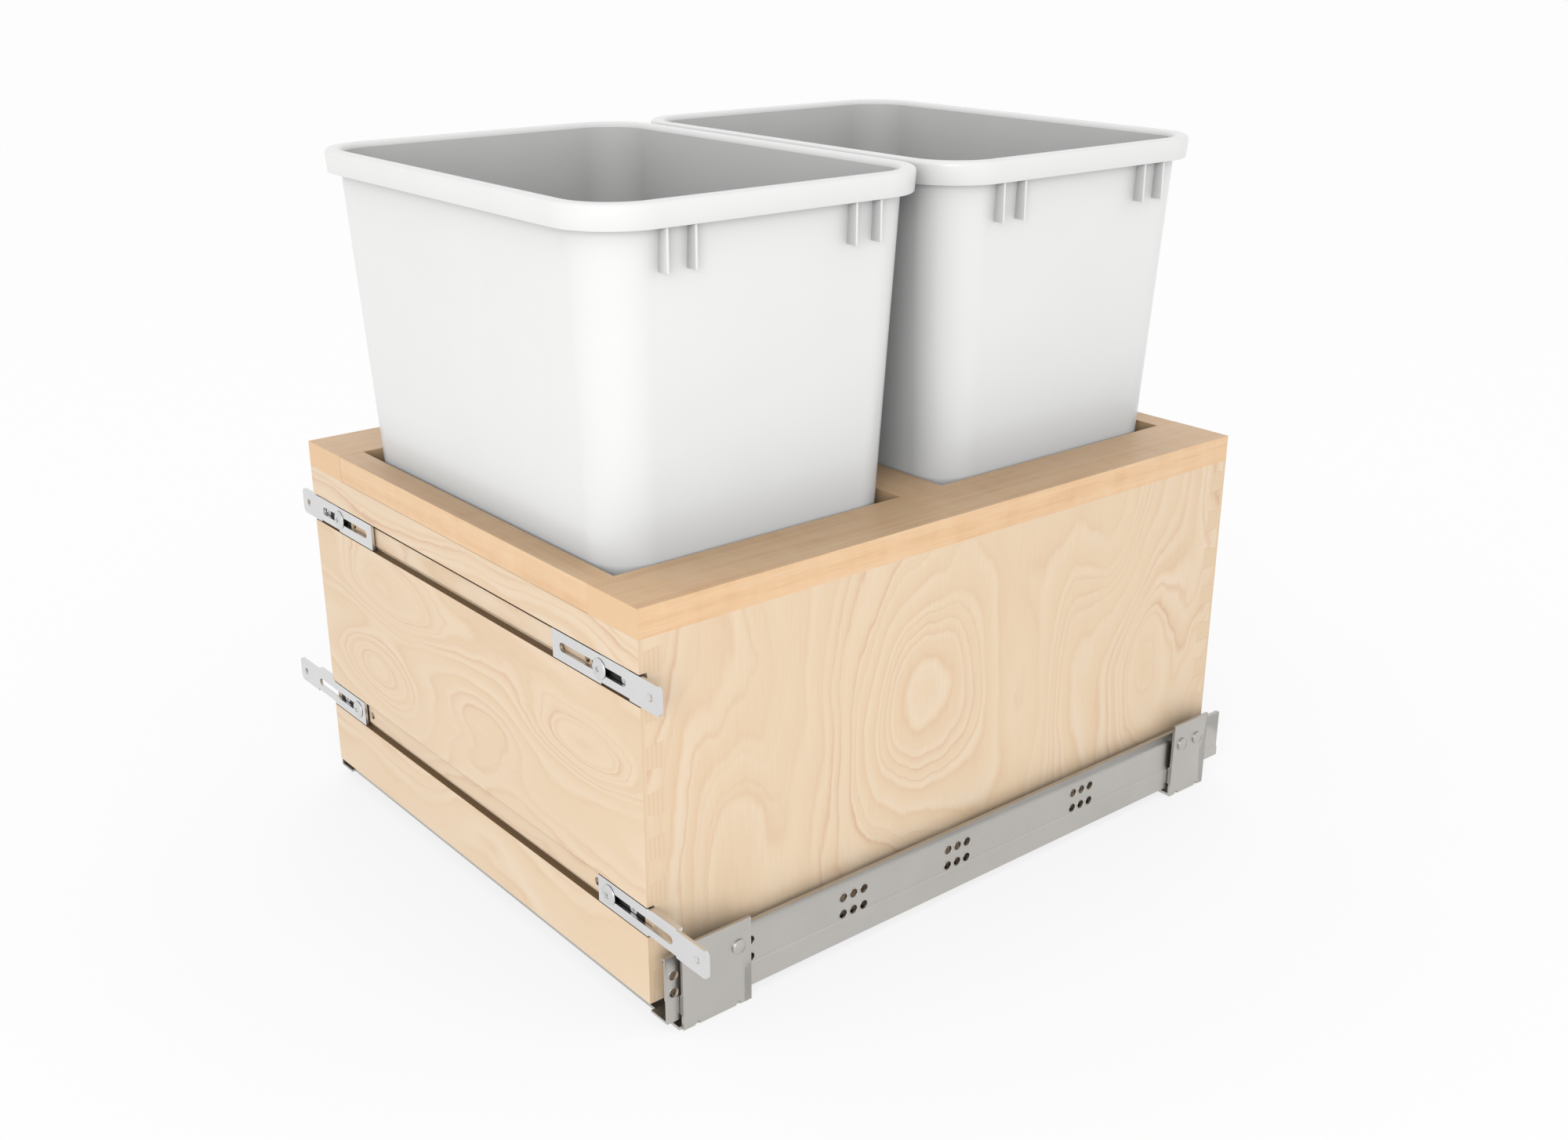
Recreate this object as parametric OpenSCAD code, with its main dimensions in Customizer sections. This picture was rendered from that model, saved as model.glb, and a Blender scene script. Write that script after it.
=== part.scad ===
// Pull-out bin frame: a dovetailed box on full-extension undermount slides, with a
// face frame that holds two lift-out bins and four sliding plates that carry a door.
// Construction heights start at the lower edge of the box panels and depths at its front face.

/* [Box] */
// Outside width of the wooden box
box_width = 422; // [380:1:560]
// Outside depth of the wooden box, front face to back face
box_depth = 533.4; // [480:0.2:620]
// Height of the four box panels
panel_height = 241.8; // [210:0.2:320]
// Thickness of the four box panels
panel_thick = 16; // [14:0.5:19]
// Thickness of the bottom panel
bottom_thick = 9.5; // [6:0.5:12]
// Height of the recess under the bottom panel, where the slides fit
bottom_recess = 12.7; // [12:0.1:16]
// Depth of the groove that holds the bottom panel
bottom_groove = 6; // [4:0.5:8]
// Clearance of the bottom panel at its edges
bottom_play = 0.2; // [0.1:0.05:0.5]

/* [Dovetails] */
// Number of pins on each box corner
pin_count = 8; // [5:1:10]
// Height of a pin where the tails start
pin_root = 17; // [14:0.5:19]
// Height of a pin at the ends of the tails
pin_tip = 14; // [10:0.5:15]
// Wood left between the ends of the tails and the outer face
dovetail_lap = 3; // [2:0.5:7]

/* [Face frame] */
// Thickness of the face frame
frame_thick = 19; // [16:0.5:22]
// Width of the left and right stiles
stile_width = 50.8; // [45:0.1:60]
// Width of the front and rear rails
end_rail_width = 19; // [17:0.5:30]
// Width of the rail between the two openings
centre_rail_width = 38.1; // [34:0.1:48]
// Diameter of the wooden dowels
dowel_d = 8; // [6:0.5:10]
// Length of the wooden dowels
dowel_length = 32; // [24:1:40]
// Radial clearance of a glued dowel
dowel_play = 0.05; // [0.02:0.01:0.1]
// Upright dowels in each box side
side_dowels = 4; // [2:1:6]

/* [Bins] */
// Height of a bin
bin_height = 454; // [400:1:520]
// Thickness of the moulded wall
bin_wall = 2.5; // [2:0.1:4]
// Thickness of the bin floor
bin_floor = 3; // [2:0.1:5]
// Clearance from a bin to the face frame at the top of the opening
bin_gap = 3; // [2:0.1:5]
// Gap between the rims of the two bins
rim_gap = 7.4; // [4:0.1:12]
// Height of the rolled rim
rim_height = 15; // [10:0.5:20]
// How far the rim stands out from the wall
rim_overhang = 8.7; // [6:0.1:10]
// Corner radius of the wall under the rim
bin_corner_top = 34; // [26:0.5:45]
// Corner radius of the wall at the floor
bin_corner_base = 26; // [20:0.5:34]
// Rounding of the floor edge of a bin
bin_edge = 6; // [3:0.5:10]
// Rounding of the upper outer edge of the rim
rim_edge = 2.6; // [1.5:0.1:5]
// Height of the fins under the rim
fin_height = 27; // [15:1:40]
// Thickness of a fin
fin_thick = 2.2; // [1.5:0.1:4]
// Distance from the middle of a bin's end to the middle of a fin pair
fin_pair_place = 69.8; // [40:0.2:80]
// Distance between the two fins of a pair
fin_pair_pitch = 19.8; // [12:0.2:30]

/* [Slide rails] */
// Thickness of the slide steel
sheet = 1.6; // [1.2:0.1:2]
// How far the drawer pulls out
travel = 500; // [400:5:520]
// Gap from the box side to the upright web of a fixed rail
web_gap = 8.1; // [4:0.1:12]
// Height of the web above the lower edge of the panels
web_top = 34.5; // [30:0.5:45]
// Drop from the lower edge of the panels to the rail floor
rail_drop = 10; // [9:0.1:16]
// Outward step in the lower part of the web
web_step = 0.8; // [0.4:0.1:1.2]
// Height of the step above the lower edge of the panels
web_step_height = 4.2; // [1:0.1:5]
// Width of the hem along the top of the web
hem_width = 3.2; // [2.4:0.1:5]
// Setback of the fixed rail behind the front face
rail_setback = 5; // [3:0.5:12]
// Length of the narrow nose at the front of the fixed rail
nose_length = 20; // [14:1:30]
// Width of the floor flange along the nose
nose_width = 17; // [14:0.5:22]
// Reach of the fixed rail past the back of the box
rail_overrun = 10; // [10:0.5:20]
// Rise of the lower corner at the rear end of the web
rear_corner_rise = 9; // [5:0.5:12]
// Gap from the box side to the drawer rail
track_gap = 2.8; // [1.5:0.1:5]
// Width of the rail track
track_width = 34.4; // [30:0.2:42]
// Width of the lips that hold the middle rail
lip_width = 4; // [3:0.1:5]
// Clearance over and under the middle rail at the lips
lip_play = 0.6; // [0.4:0.1:0.8]
// Clearance beside the flanges of the middle rail
flange_play = 1; // [0.6:0.1:1.5]
// Setback of the middle rail at its front end
middle_setback = 40; // [30:1:60]
// Setback of the middle rail at its rear end
middle_rear_setback = 25; // [15:1:40]

/* [Rollers] */
// Diameter of a roller
roller_d = 4.4; // [3.6:0.1:5]
// Length of a roller
roller_length = 18; // [12:0.5:20]
// Clearance around a roller
roller_gap = 0.3; // [0.2:0.05:0.4]
// Length of a roller cage
cage_length = 200; // [120:5:220]
// Thickness of a roller cage
cage_thick = 2.4; // [1.6:0.1:3]
// Width of a roller cage
cage_width = 26; // [24:0.5:27]
// Rollers in each cage
roller_count = 8; // [4:1:12]

/* [Wall holes] */
// Diameter of the wall screw holes in the web
wall_hole_d = 6.4; // [5:0.1:7]
// Distance between neighbouring columns of holes
hole_column_pitch = 9.1; // [8:0.1:11]
// Distance between the two rows of holes
hole_row_pitch = 12.3; // [9:0.1:14]
// Height of the lower row above the lower edge of the panels
hole_row_height = 8.8; // [8.6:0.1:11]
// Distance from the front face to the first column at the nose
nose_hole_place = 11; // [10:0.5:14]
// Distance from the front face to the column behind the front foot
foot_hole_place = 70.5; // [68:0.5:90]
// Distance from the front face to the first wall group
wall_group_place = 148.2; // [120:0.2:170]
// Distance from the first wall group to the second
wall_group_second = 96; // [64:32:128]
// Distance from the first wall group to the third
wall_group_third = 224; // [160:32:256]

/* [Feet] */
// Thickness of the foot brackets
foot_sheet = 2.2; // [1.6:0.1:3]
// Gap from the web to a foot bracket
foot_standoff = 1.8; // [1.8:0.1:6]
// Height of the foot brackets above the lower edge of the panels
foot_top = 42; // [36:0.5:50]
// Height of the rails above the flanges of the feet
rail_lift = 4.2; // [1:0.1:6]
// Width of the flange that stands on the cabinet floor
foot_flange = 26; // [22:0.5:32]
// Depth of the return along the front edge of a foot
foot_return = 1.4; // [1:0.1:1.4]
// Height of the top of that return
foot_return_top = 6; // [2:0.5:12]
// Setback of the front feet behind the front face
front_foot_place = 14.5; // [13:0.5:18]
// Length of a front foot
front_foot_length = 53; // [50:1:60]
// How far the strip between the front feet stands out ahead of them
strip_lead = 2; // [0.5:0.5:6]
// Distance from the back of the box to the end of a rear foot
rear_foot_place = 11.4; // [5:0.2:15]
// Length of a rear foot
rear_foot_length = 40; // [36:1:60]
// Diameter of the domed rivet heads
rivet_head_d = 10; // [8:0.5:12]
// Diameter of the rivet shanks
rivet_d = 5; // [4:0.5:6]
// Height of the rivets above the lower edge of the panels
rivet_height = 24.5; // [22:0.5:26]
// Distance from the rear edge of a front foot to its rivet
front_rivet_inset = 9.9; // [8:0.1:14]
// Distance from the front edge of a rear foot to its first rivet
rear_rivet_inset = 10; // [8:0.5:12]
// Distance between the rivets of a rear foot
rear_rivet_pitch = 18; // [14:0.5:22]
// Diameter of the floor screw holes
floor_hole_d = 5.2; // [4:0.1:6]
// Distance from the web to the floor screw holes
floor_hole_inset = 10.2; // [8:0.1:12]

/* [Door plates] */
// Height of the grooves across the front panel
groove_height = 20.6; // [18:0.2:26]
// Depth of the saw cuts along both edges of a groove
groove_depth = 5.5; // [5:0.1:8]
// Depth of a groove between its saw cuts
land_depth = 3.2; // [2.8:0.1:4]
// Clearance beside the bent edge of a door plate in its saw cut
kerf_play = 0.9; // [0.4:0.1:1.2]
// Distance from the top of the front panel to the middle of the upper groove
top_groove_drop = 31.5; // [25:0.1:50]
// Height of the middle of the lower groove
low_groove_height = 57.7; // [50:0.1:80]
// Length of a door plate
plate_length = 112; // [108:1:130]
// Thickness of a door plate
plate_thick = 2; // [1.6:0.1:2.4]
// Clearance of a door plate in its groove
plate_play = 0.8; // [0.2:0.05:1.2]
// Depth of the bent edges of a door plate
plate_edge_depth = 5; // [4:0.1:5.2]
// Distance from the inner end of a plate to its bent edges
plate_edge_start = 52.5; // [40:0.5:60]
// Length of the bent edges of a plate
plate_edge_length = 29; // [20:1:40]
// Radius of the outer corners of a plate
plate_corner = 4; // [2:0.5:6]
// Distance from the inner end of a plate to its slot
slot_start = 8; // [6:0.5:12]
// Length of the slot
slot_length = 70; // [60:1:74]
// Height of the slot
slot_height = 6; // [5.8:0.1:7]
// Diameter of the door screw hole
door_hole_d = 5.2; // [4:0.1:6]
// Distance from the outer end of a plate to the door screw hole
door_hole_inset = 10; // [8:0.5:14]
// Reach of the upper plates past the box side
top_reach = 20; // [10:0.5:40]

/* [Clamps] */
// Distance from the box side to a clamp screw
clamp_inset = 41; // [36:0.5:50]
// Diameter of the clamp screws
clamp_screw_d = 5; // [4:0.1:5.2]
// Diameter of the domed heads of the clamp screws
clamp_head_d = 13.5; // [11:0.5:16]
// Height of the domed heads
clamp_head_height = 2.5; // [2:0.1:3.5]
// Length of a clamp bar
bar_length = 45; // [40:1:50]
// Height of a clamp bar
bar_height = 12; // [10:0.5:13]
// Distance from the inner end of a clamp bar to the clamp screw
bar_screw_place = 11.5; // [9:0.5:14]
// Distance from the clamp screw to the wood screw in the bar
bar_screw_pitch = 23; // [18:0.5:26]
// Diameter of the spare pilot holes beside the clamps
pilot_d = 5.6; // [5:0.1:7]
// Distance from the clamp screw to the spare pilot hole
pilot_offset = 17.5; // [16:0.5:20]

/* [Locks] */
// Width of a lock body
lock_width = 40; // [34:1:44]
// Length of a lock body
lock_length = 36; // [32:1:44]
// Height of a lock body
lock_height = 10; // [9:0.1:11]
// Width of the release slider
slider_width = 8; // [6:0.5:9]
// Thickness of the release slider
slider_thick = 4; // [3:0.1:4.5]
// Clearance around the release slider
slider_play = 0.3; // [0.2:0.05:0.4]
// Size of the finger tab on the slider
tab_size = 12; // [10:0.5:14]
// Diameter of the small wood screws
wood_screw_d = 3.5; // [3:0.1:4]
// Diameter of the small wood screw heads
wood_head_d = 7; // [6:0.1:8]

/* [Hidden] */
$fn = 48;
// Clearances between separate pieces
fit = 0.05;
touch_gap = 0.2;
running_gap = 0.4;
cut = 1;

// Box
side_x = box_width / 2;
inner_x = side_x - panel_thick;
frame_top = panel_height + frame_thick;
pin_pitch = panel_height / pin_count;
bottom_top = bottom_recess + bottom_thick;

// Face frame and bins
opening_x = box_width - 2 * stile_width;
opening_y = (box_depth - 2 * end_rail_width - centre_rail_width) / 2;
bin_pitch = opening_y + centre_rail_width;
front_bin_y = end_rail_width + opening_y / 2;
rim_top = bottom_top + bin_height;
rim_under = rim_top - rim_height;
rim_half_y = (bin_pitch - rim_gap) / 2;
wall_half_y = rim_half_y - rim_overhang;
opening_half_x = opening_x / 2 - bin_gap;
opening_half_y = opening_y / 2 - bin_gap;
bin_taper = (wall_half_y - opening_half_y) / (rim_under - frame_top);
corner_taper = (bin_corner_top - bin_corner_base) / (rim_under - bottom_top);

// Slides
web_outer = side_x + web_gap + sheet;
step_outer = web_outer + web_step;
track_half = track_width / 2;
track_x = inner_x - track_gap - track_half;
rail_floor = -rail_drop;
rail_under = rail_floor - sheet;
roller_space = roller_d + 2 * roller_gap;
middle_low = rail_floor + roller_space;
fixed_lip = middle_low + sheet + lip_play;
middle_high = bottom_recess - sheet - roller_space;
drawer_lip = middle_high - sheet - lip_play;
rail_rear = box_depth + rail_overrun;
nose_end = rail_setback + nose_length;
nose_inner = step_outer - nose_width;
cage_margin = 10;
lower_cage_y = nose_end + travel / 4 + cage_margin;
upper_cage_y = middle_setback + travel / 4 + cage_margin;

// Feet
foot_inner = step_outer + foot_standoff;
foot_outer = foot_inner + foot_sheet;
flange_top = rail_under - rail_lift;
floor_z = flange_top - foot_sheet;
rear_foot_y = box_depth - rear_foot_place - rear_foot_length;
floor_hole_x = step_outer - sheet - floor_hole_inset;

// Door plates
top_groove = panel_height - top_groove_drop;
plate_height = groove_height - 2 * plate_play;
kerf_height = plate_thick + plate_play + kerf_play;
slot_play = 0.5;
full_reach = plate_length - slot_start - slot_height / 2 - slot_play - clamp_inset;
clamp_x = side_x - clamp_inset;
bar_thick = groove_depth - plate_thick - running_gap;

// Locks
lock_outer = track_x - track_half - running_gap;
lock_y = panel_thick + running_gap;
lock_low = bottom_recess - lock_height;
slider_y = lock_y + lock_length / 2;
slider_z = lock_low + lock_height / 2;
nose_depth = 1;

// Origin: middle of the whole outline, on the cabinet floor
middle_y = (rail_rear - clamp_head_height - touch_gap) / 2;

steel = [0.71, 0.70, 0.67];
bright_steel = [0.84, 0.85, 0.87];
dark_steel = [0.25, 0.24, 0.23];
birch = [0.92, 0.82, 0.70];
maple = [0.93, 0.77, 0.58];
beech = [0.80, 0.62, 0.45];
white_plastic = [0.94, 0.94, 0.93];
grey_plastic = [0.35, 0.36, 0.38];
black_rubber = [0.10, 0.10, 0.10];

// Helpers

// Moves the construction frame to the part's origin
module place() {
    translate([0, -middle_y, -floor_z]) children();
}

module left() {
    mirror([1, 0, 0]) children();
}

module both_sides() {
    children();
    left() children();
}

// Extrudes an (x, z) outline from depth y0 to depth y1
module along_y(y0, y1) {
    translate([0, y1, 0]) rotate([90, 0, 0]) linear_extrude(y1 - y0) children();
}

// Extrudes a (y, z) outline from x0 to x1
module along_x(x0, x1) {
    translate([x0, 0, 0]) rotate([90, 0, 90]) linear_extrude(x1 - x0) children();
}

module block(low, high) {
    translate(low) cube(high - low);
}

module rod_x(x0, x1, y, z, d) {
    translate([x0, y, z]) rotate([0, 90, 0]) cylinder(d = d, h = x1 - x0);
}

module rod_y(x, y0, y1, z, d) {
    translate([x, y0, z]) rotate([-90, 0, 0]) cylinder(d = d, h = y1 - y0);
}

module rod_z(x, y, z0, z1, d) {
    translate([x, y, z0]) cylinder(d = d, h = z1 - z0);
}

// Domed head on the plane z = 0, rising along +Z
module dome(d, height) {
    radius = (d * d / 4 + height * height) / (2 * height);
    intersection() {
        translate([0, 0, height - radius]) sphere(radius);
        cylinder(d = d + cut, h = height + cut);
    }
}

// Countersunk screw with its head on the plane z = 0 and its shank along +Z
wood_head_height = (wood_head_d - wood_screw_d) / 2;

module wood_screw(length) {
    difference() {
        union() {
            cylinder(d1 = wood_head_d, d2 = wood_screw_d, h = wood_head_height);
            translate([0, 0, wood_head_height - fit])
                cylinder(d = wood_screw_d, h = length - wood_head_height);
        }
        cross_recess(wood_head_d);
    }
}

module wood_screw_space(length) {
    hole_d = wood_screw_d + 2 * fit;
    translate([0, 0, -fit]) cylinder(d1 = wood_head_d + 2 * fit, d2 = hole_d, h = wood_head_height);
    translate([0, 0, -cut]) cylinder(d = hole_d, h = length + 2 * cut);
}

// Driver slots cut into a head from the plane z = 0 upwards, sized as shares of the head
recess_arm = 0.55;
recess_blade = 0.13;
recess_depth = 0.12;

module cross_recess(head_d) {
    arm = head_d * recess_arm;
    blade = head_d * recess_blade;
    depth = head_d * recess_depth;
    for (turn = [0, 90])
        rotate(turn) translate([-arm / 2, -blade / 2, -cut]) cube([arm, blade, depth + cut]);
}

// Fixed rails

function fixed_rail_outline() = [
    [track_x - track_half, rail_under],
    [step_outer, rail_under],
    [step_outer, web_step_height],
    [web_outer, web_step_height + web_step],
    [web_outer, web_top],
    [web_outer - hem_width, web_top],
    [web_outer - hem_width, web_top - 2 * sheet],
    [web_outer - hem_width + sheet / 2, web_top - 2 * sheet],
    [web_outer - hem_width + sheet / 2, web_top - sheet],
    [web_outer - sheet, web_top - sheet],
    [web_outer - sheet, web_step_height + web_step],
    [step_outer - sheet, web_step_height],
    [step_outer - sheet, rail_floor],
    [track_x + track_half, rail_floor],
    [track_x + track_half, fixed_lip + sheet],
    [track_x + track_half - sheet - lip_width, fixed_lip + sheet],
    [track_x + track_half - sheet - lip_width, fixed_lip],
    [track_x + track_half - sheet, fixed_lip],
    [track_x + track_half - sheet, rail_floor],
    [track_x - track_half + sheet, rail_floor],
    [track_x - track_half + sheet, fixed_lip],
    [track_x - track_half + sheet + lip_width, fixed_lip],
    [track_x - track_half + sheet + lip_width, fixed_lip + sheet],
    [track_x - track_half, fixed_lip + sheet]
];

// Each wall group: depth of its first column and its number of columns
wall_groups = [
    [nose_hole_place, 3],
    [foot_hole_place, 1],
    [wall_group_place, 3],
    [wall_group_place + wall_group_second, 3],
    [wall_group_place + wall_group_third, 3]
];

module wall_holes() {
    for (group = wall_groups, column = [0 : group[1] - 1], row = [0, 1])
        rod_x(web_outer - 2 * sheet, step_outer + cut,
              group[0] + column * hole_column_pitch,
              hole_row_height + row * hole_row_pitch, wall_hole_d);
}

rivet_shoulder = 1.5;
rivet_collar = rivet_d + 2 * rivet_shoulder;
rivet_tail = 1.4;
rivet_head_height = rivet_head_d / 5;
rivet_head_ease = rivet_head_height / 2;

// Depths of the rivets: one in a front foot, two in a rear foot
rivet_places = [
    front_foot_place + front_foot_length - front_rivet_inset,
    rear_foot_y + rear_rivet_inset,
    rear_foot_y + rear_rivet_inset + rear_rivet_pitch
];

module rivet_holes() {
    for (y = rivet_places)
        rod_x(web_outer - 2 * sheet, foot_outer + cut, y, rivet_height, rivet_d + 2 * fit);
}

// Room in the hem for the upset tails of the rivets
module rivet_tail_space() {
    for (y = rivet_places)
        rod_x(web_outer - hem_width - cut, web_outer - sheet, y, rivet_height, rivet_collar + cut);
}

floor_hole_places = [front_foot_place + front_foot_length / 2, rear_foot_y + rear_foot_length / 2];

module floor_holes() {
    for (y = floor_hole_places)
        rod_z(floor_hole_x, y, floor_z - cut, rail_floor + cut, floor_hole_d);
}

module fixed_rail() {
    difference() {
        along_y(rail_setback, rail_rear) polygon(fixed_rail_outline());
        block([track_x - track_width, rail_setback - cut, rail_under - cut],
              [nose_inner, nose_end, fixed_lip + sheet + cut]);
        block([floor_hole_x, rear_foot_y + rear_foot_length + foot_sheet, rail_under - cut],
              [step_outer + cut, rail_rear + cut, rail_under + rear_corner_rise]);
        wall_holes();
        rivet_holes();
        rivet_tail_space();
        floor_holes();
    }
}

module left_fixed_rail() {
    color(steel) place() left() fixed_rail();
}

module right_fixed_rail() {
    color(steel) place() fixed_rail();
}

// Feet

function foot_outline() = [
    [foot_outer - foot_flange, floor_z],
    [foot_outer, floor_z],
    [foot_outer, foot_top],
    [foot_inner, foot_top],
    [foot_inner, flange_top],
    [foot_outer - foot_flange, flange_top]
];

// Bend reliefs near both ends of the fold, placed as a share of the foot's length
relief_width = 3;
relief_share = 0.2;

// An upright plate with a floor flange, a short return low on its front edge and two bend reliefs
module foot(y0, length) {
    difference() {
        union() {
            along_y(y0, y0 + length) polygon(foot_outline());
            block([foot_inner - foot_return, y0, rail_floor + foot_sheet],
                  [foot_inner + foot_sheet / 2, y0 + foot_sheet, foot_return_top]);
        }
        for (y = [y0 + length * relief_share, y0 + length * (1 - relief_share)])
            block([foot_outer - foot_sheet / 2, y - relief_width / 2, floor_z - cut],
                  [foot_outer + cut, y + relief_width / 2, floor_z + foot_sheet]);
        rivet_holes();
        floor_holes();
    }
}

// The front feet are the upturned ends of one strip across the cabinet floor
module front_bracket() {
    strip_x = foot_outer - foot_flange + fit;
    color(steel) place() {
        both_sides() foot(front_foot_place, front_foot_length);
        block([-strip_x, front_foot_place, floor_z],
              [strip_x, front_foot_place + front_foot_length, flange_top]);
        block([-foot_inner, front_foot_place - strip_lead, floor_z],
              [foot_inner, front_foot_place + fit, flange_top]);
    }
}

module rear_left_foot() {
    color(steel) place() left() foot(rear_foot_y, rear_foot_length);
}

module rear_right_foot() {
    color(steel) place() foot(rear_foot_y, rear_foot_length);
}

// Shouldered rivets: a flat eased head outside, a collar in the gap and an upset tail inside the web
module foot_rivet(y) {
    tail_x = web_outer - sheet - rivet_tail;
    translate([0, y, rivet_height]) rotate([0, 90, 0]) {
        translate([0, 0, foot_outer]) cylinder(d = rivet_head_d, h = rivet_head_ease);
        translate([0, 0, foot_outer + rivet_head_ease])
            cylinder(d1 = rivet_head_d, d2 = rivet_head_d - 2 * rivet_head_ease, h = rivet_head_ease);
        translate([0, 0, tail_x]) cylinder(d = rivet_d, h = foot_outer - tail_x + fit);
        translate([0, 0, web_outer]) cylinder(d = rivet_collar, h = foot_inner - web_outer);
        translate([0, 0, tail_x]) cylinder(d = rivet_collar, h = rivet_tail);
    }
}

module foot_rivets() {
    color(bright_steel) place() both_sides() for (y = rivet_places) foot_rivet(y);
}

// Rubber buffers that stop the closing drawer rails
module rear_stops() {
    buffer = 7;
    half = track_half - sheet - lip_width - lip_play;
    y0 = box_depth + sheet + 2 * running_gap;
    color(black_rubber) place() both_sides()
        block([track_x - half, y0, rail_floor], [track_x + half, y0 + buffer, middle_high]);
}

// Roller cages and rollers

function roller_place(index) = cage_length * (index + 0.5) / roller_count;

module cage(y0, z) {
    window = roller_d + 2 * roller_gap;
    window_length = roller_length + 2 * roller_gap;
    difference() {
        block([track_x - cage_width / 2, y0, z - cage_thick / 2],
              [track_x + cage_width / 2, y0 + cage_length, z + cage_thick / 2]);
        for (i = [0 : roller_count - 1])
            translate([track_x, y0 + roller_place(i), z])
                cube([window_length, window, cage_thick + cut], center = true);
    }
}

module rollers(y0, z) {
    for (i = [0 : roller_count - 1])
        rod_x(track_x - roller_length / 2, track_x + roller_length / 2, y0 + roller_place(i), z, roller_d);
}

lower_roller_z = rail_floor + roller_space / 2;
upper_roller_z = middle_high + roller_space / 2;

module left_lower_cage() {
    color(grey_plastic) place() left() cage(lower_cage_y, lower_roller_z);
}

module right_lower_cage() {
    color(grey_plastic) place() cage(lower_cage_y, lower_roller_z);
}

module left_lower_rollers() {
    color(bright_steel) place() left() rollers(lower_cage_y, lower_roller_z);
}

module right_lower_rollers() {
    color(bright_steel) place() rollers(lower_cage_y, lower_roller_z);
}

module left_upper_cage() {
    color(grey_plastic) place() left() cage(upper_cage_y, upper_roller_z);
}

module right_upper_cage() {
    color(grey_plastic) place() cage(upper_cage_y, upper_roller_z);
}

module left_upper_rollers() {
    color(bright_steel) place() left() rollers(upper_cage_y, upper_roller_z);
}

module right_upper_rollers() {
    color(bright_steel) place() rollers(upper_cage_y, upper_roller_z);
}

// Middle rails

flange_half = track_half - sheet - flange_play;

function middle_rail_outline() = [
    [track_x - flange_half, middle_low],
    [track_x + flange_half, middle_low],
    [track_x + flange_half, middle_low + sheet],
    [track_x + sheet, middle_low + sheet],
    [track_x + sheet, middle_high - sheet],
    [track_x + flange_half, middle_high - sheet],
    [track_x + flange_half, middle_high],
    [track_x - flange_half, middle_high],
    [track_x - flange_half, middle_high - sheet],
    [track_x - sheet, middle_high - sheet],
    [track_x - sheet, middle_low + sheet],
    [track_x - flange_half, middle_low + sheet]
];

module middle_rail() {
    along_y(middle_setback, box_depth - middle_rear_setback) polygon(middle_rail_outline());
}

module left_middle_rail() {
    color(steel) place() left() middle_rail();
}

module right_middle_rail() {
    color(steel) place() middle_rail();
}

// Drawer rails

function drawer_rail_outline() = [
    [track_x - track_half, drawer_lip - sheet],
    [track_x - track_half + sheet + lip_width, drawer_lip - sheet],
    [track_x - track_half + sheet + lip_width, drawer_lip],
    [track_x - track_half + sheet, drawer_lip],
    [track_x - track_half + sheet, bottom_recess - sheet],
    [track_x + track_half - sheet, bottom_recess - sheet],
    [track_x + track_half - sheet, drawer_lip],
    [track_x + track_half - sheet - lip_width, drawer_lip],
    [track_x + track_half - sheet - lip_width, drawer_lip - sheet],
    [track_x + track_half, drawer_lip - sheet],
    [track_x + track_half, bottom_recess],
    [track_x - track_half, bottom_recess]
];

// The hook at the rear end: a tab behind the back panel with a peg that points forward
hook_half = 7;
hook_rise = 13;
peg_d = 5.8;
peg_length = 8;
peg_z = bottom_recess + hook_rise / 2 + sheet;

module drawer_rail() {
    hook_y = box_depth + touch_gap;
    difference() {
        union() {
            along_y(lock_y, hook_y + sheet) polygon(drawer_rail_outline());
            block([track_x - hook_half, hook_y, bottom_recess - sheet],
                  [track_x + hook_half, hook_y + sheet, bottom_recess + hook_rise]);
            rod_y(track_x, hook_y - peg_length, hook_y + sheet / 2, peg_z, peg_d);
        }
        slider_notch();
    }
}

// Opening in the inner wall of a drawer rail for the nose of the release slider
module slider_notch() {
    wide = slider_width / 2 + 2 * running_gap;
    thick = slider_thick / 2 + 2 * running_gap;
    wall_x = track_x - track_half;
    block([wall_x - cut, slider_y - wide, slider_z - thick],
          [wall_x + sheet + fit, slider_y + wide, slider_z + thick]);
}

module left_drawer_rail() {
    color(steel) place() left() drawer_rail();
}

module right_drawer_rail() {
    color(steel) place() drawer_rail();
}

// Locks that clip the box to the drawer rails

lock_screw_inset = 7;
lock_screw_x = lock_outer - lock_width / 2;
lock_screw_end = 2.5;
lock_screw_length = lock_height + bottom_thick - lock_screw_end;
lock_screw_places = [lock_y + lock_screw_inset, lock_y + lock_length - lock_screw_inset];

module lock_screw_holes() {
    for (y = lock_screw_places)
        translate([lock_screw_x, y, lock_low]) wood_screw_space(lock_screw_length);
}

module lock_body() {
    wide = slider_width / 2 + slider_play;
    thick = slider_thick / 2 + slider_play;
    difference() {
        block([lock_outer - lock_width, lock_y, lock_low],
              [lock_outer, lock_y + lock_length, bottom_recess]);
        block([lock_outer - lock_width - cut, slider_y - wide, slider_z - thick],
              [lock_outer + cut, slider_y + wide, slider_z + thick]);
        lock_screw_holes();
    }
}

module left_lock_body() {
    color(grey_plastic) place() left() lock_body();
}

module right_lock_body() {
    color(grey_plastic) place() lock_body();
}

// Sliding catch: a bar with a finger tab that hangs down beside the lock body
module lock_slider() {
    inner = lock_outer - lock_width - running_gap;
    tab_thick = 4;
    block([inner - fit, slider_y - slider_width / 2, slider_z - slider_thick / 2],
          [track_x - track_half + nose_depth, slider_y + slider_width / 2, slider_z + slider_thick / 2]);
    block([inner - tab_thick, slider_y - tab_size, slider_z + slider_thick / 2 - tab_size],
          [inner, slider_y + tab_size, slider_z + slider_thick / 2]);
}

module left_lock_slider() {
    color(grey_plastic) place() left() lock_slider();
}

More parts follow.
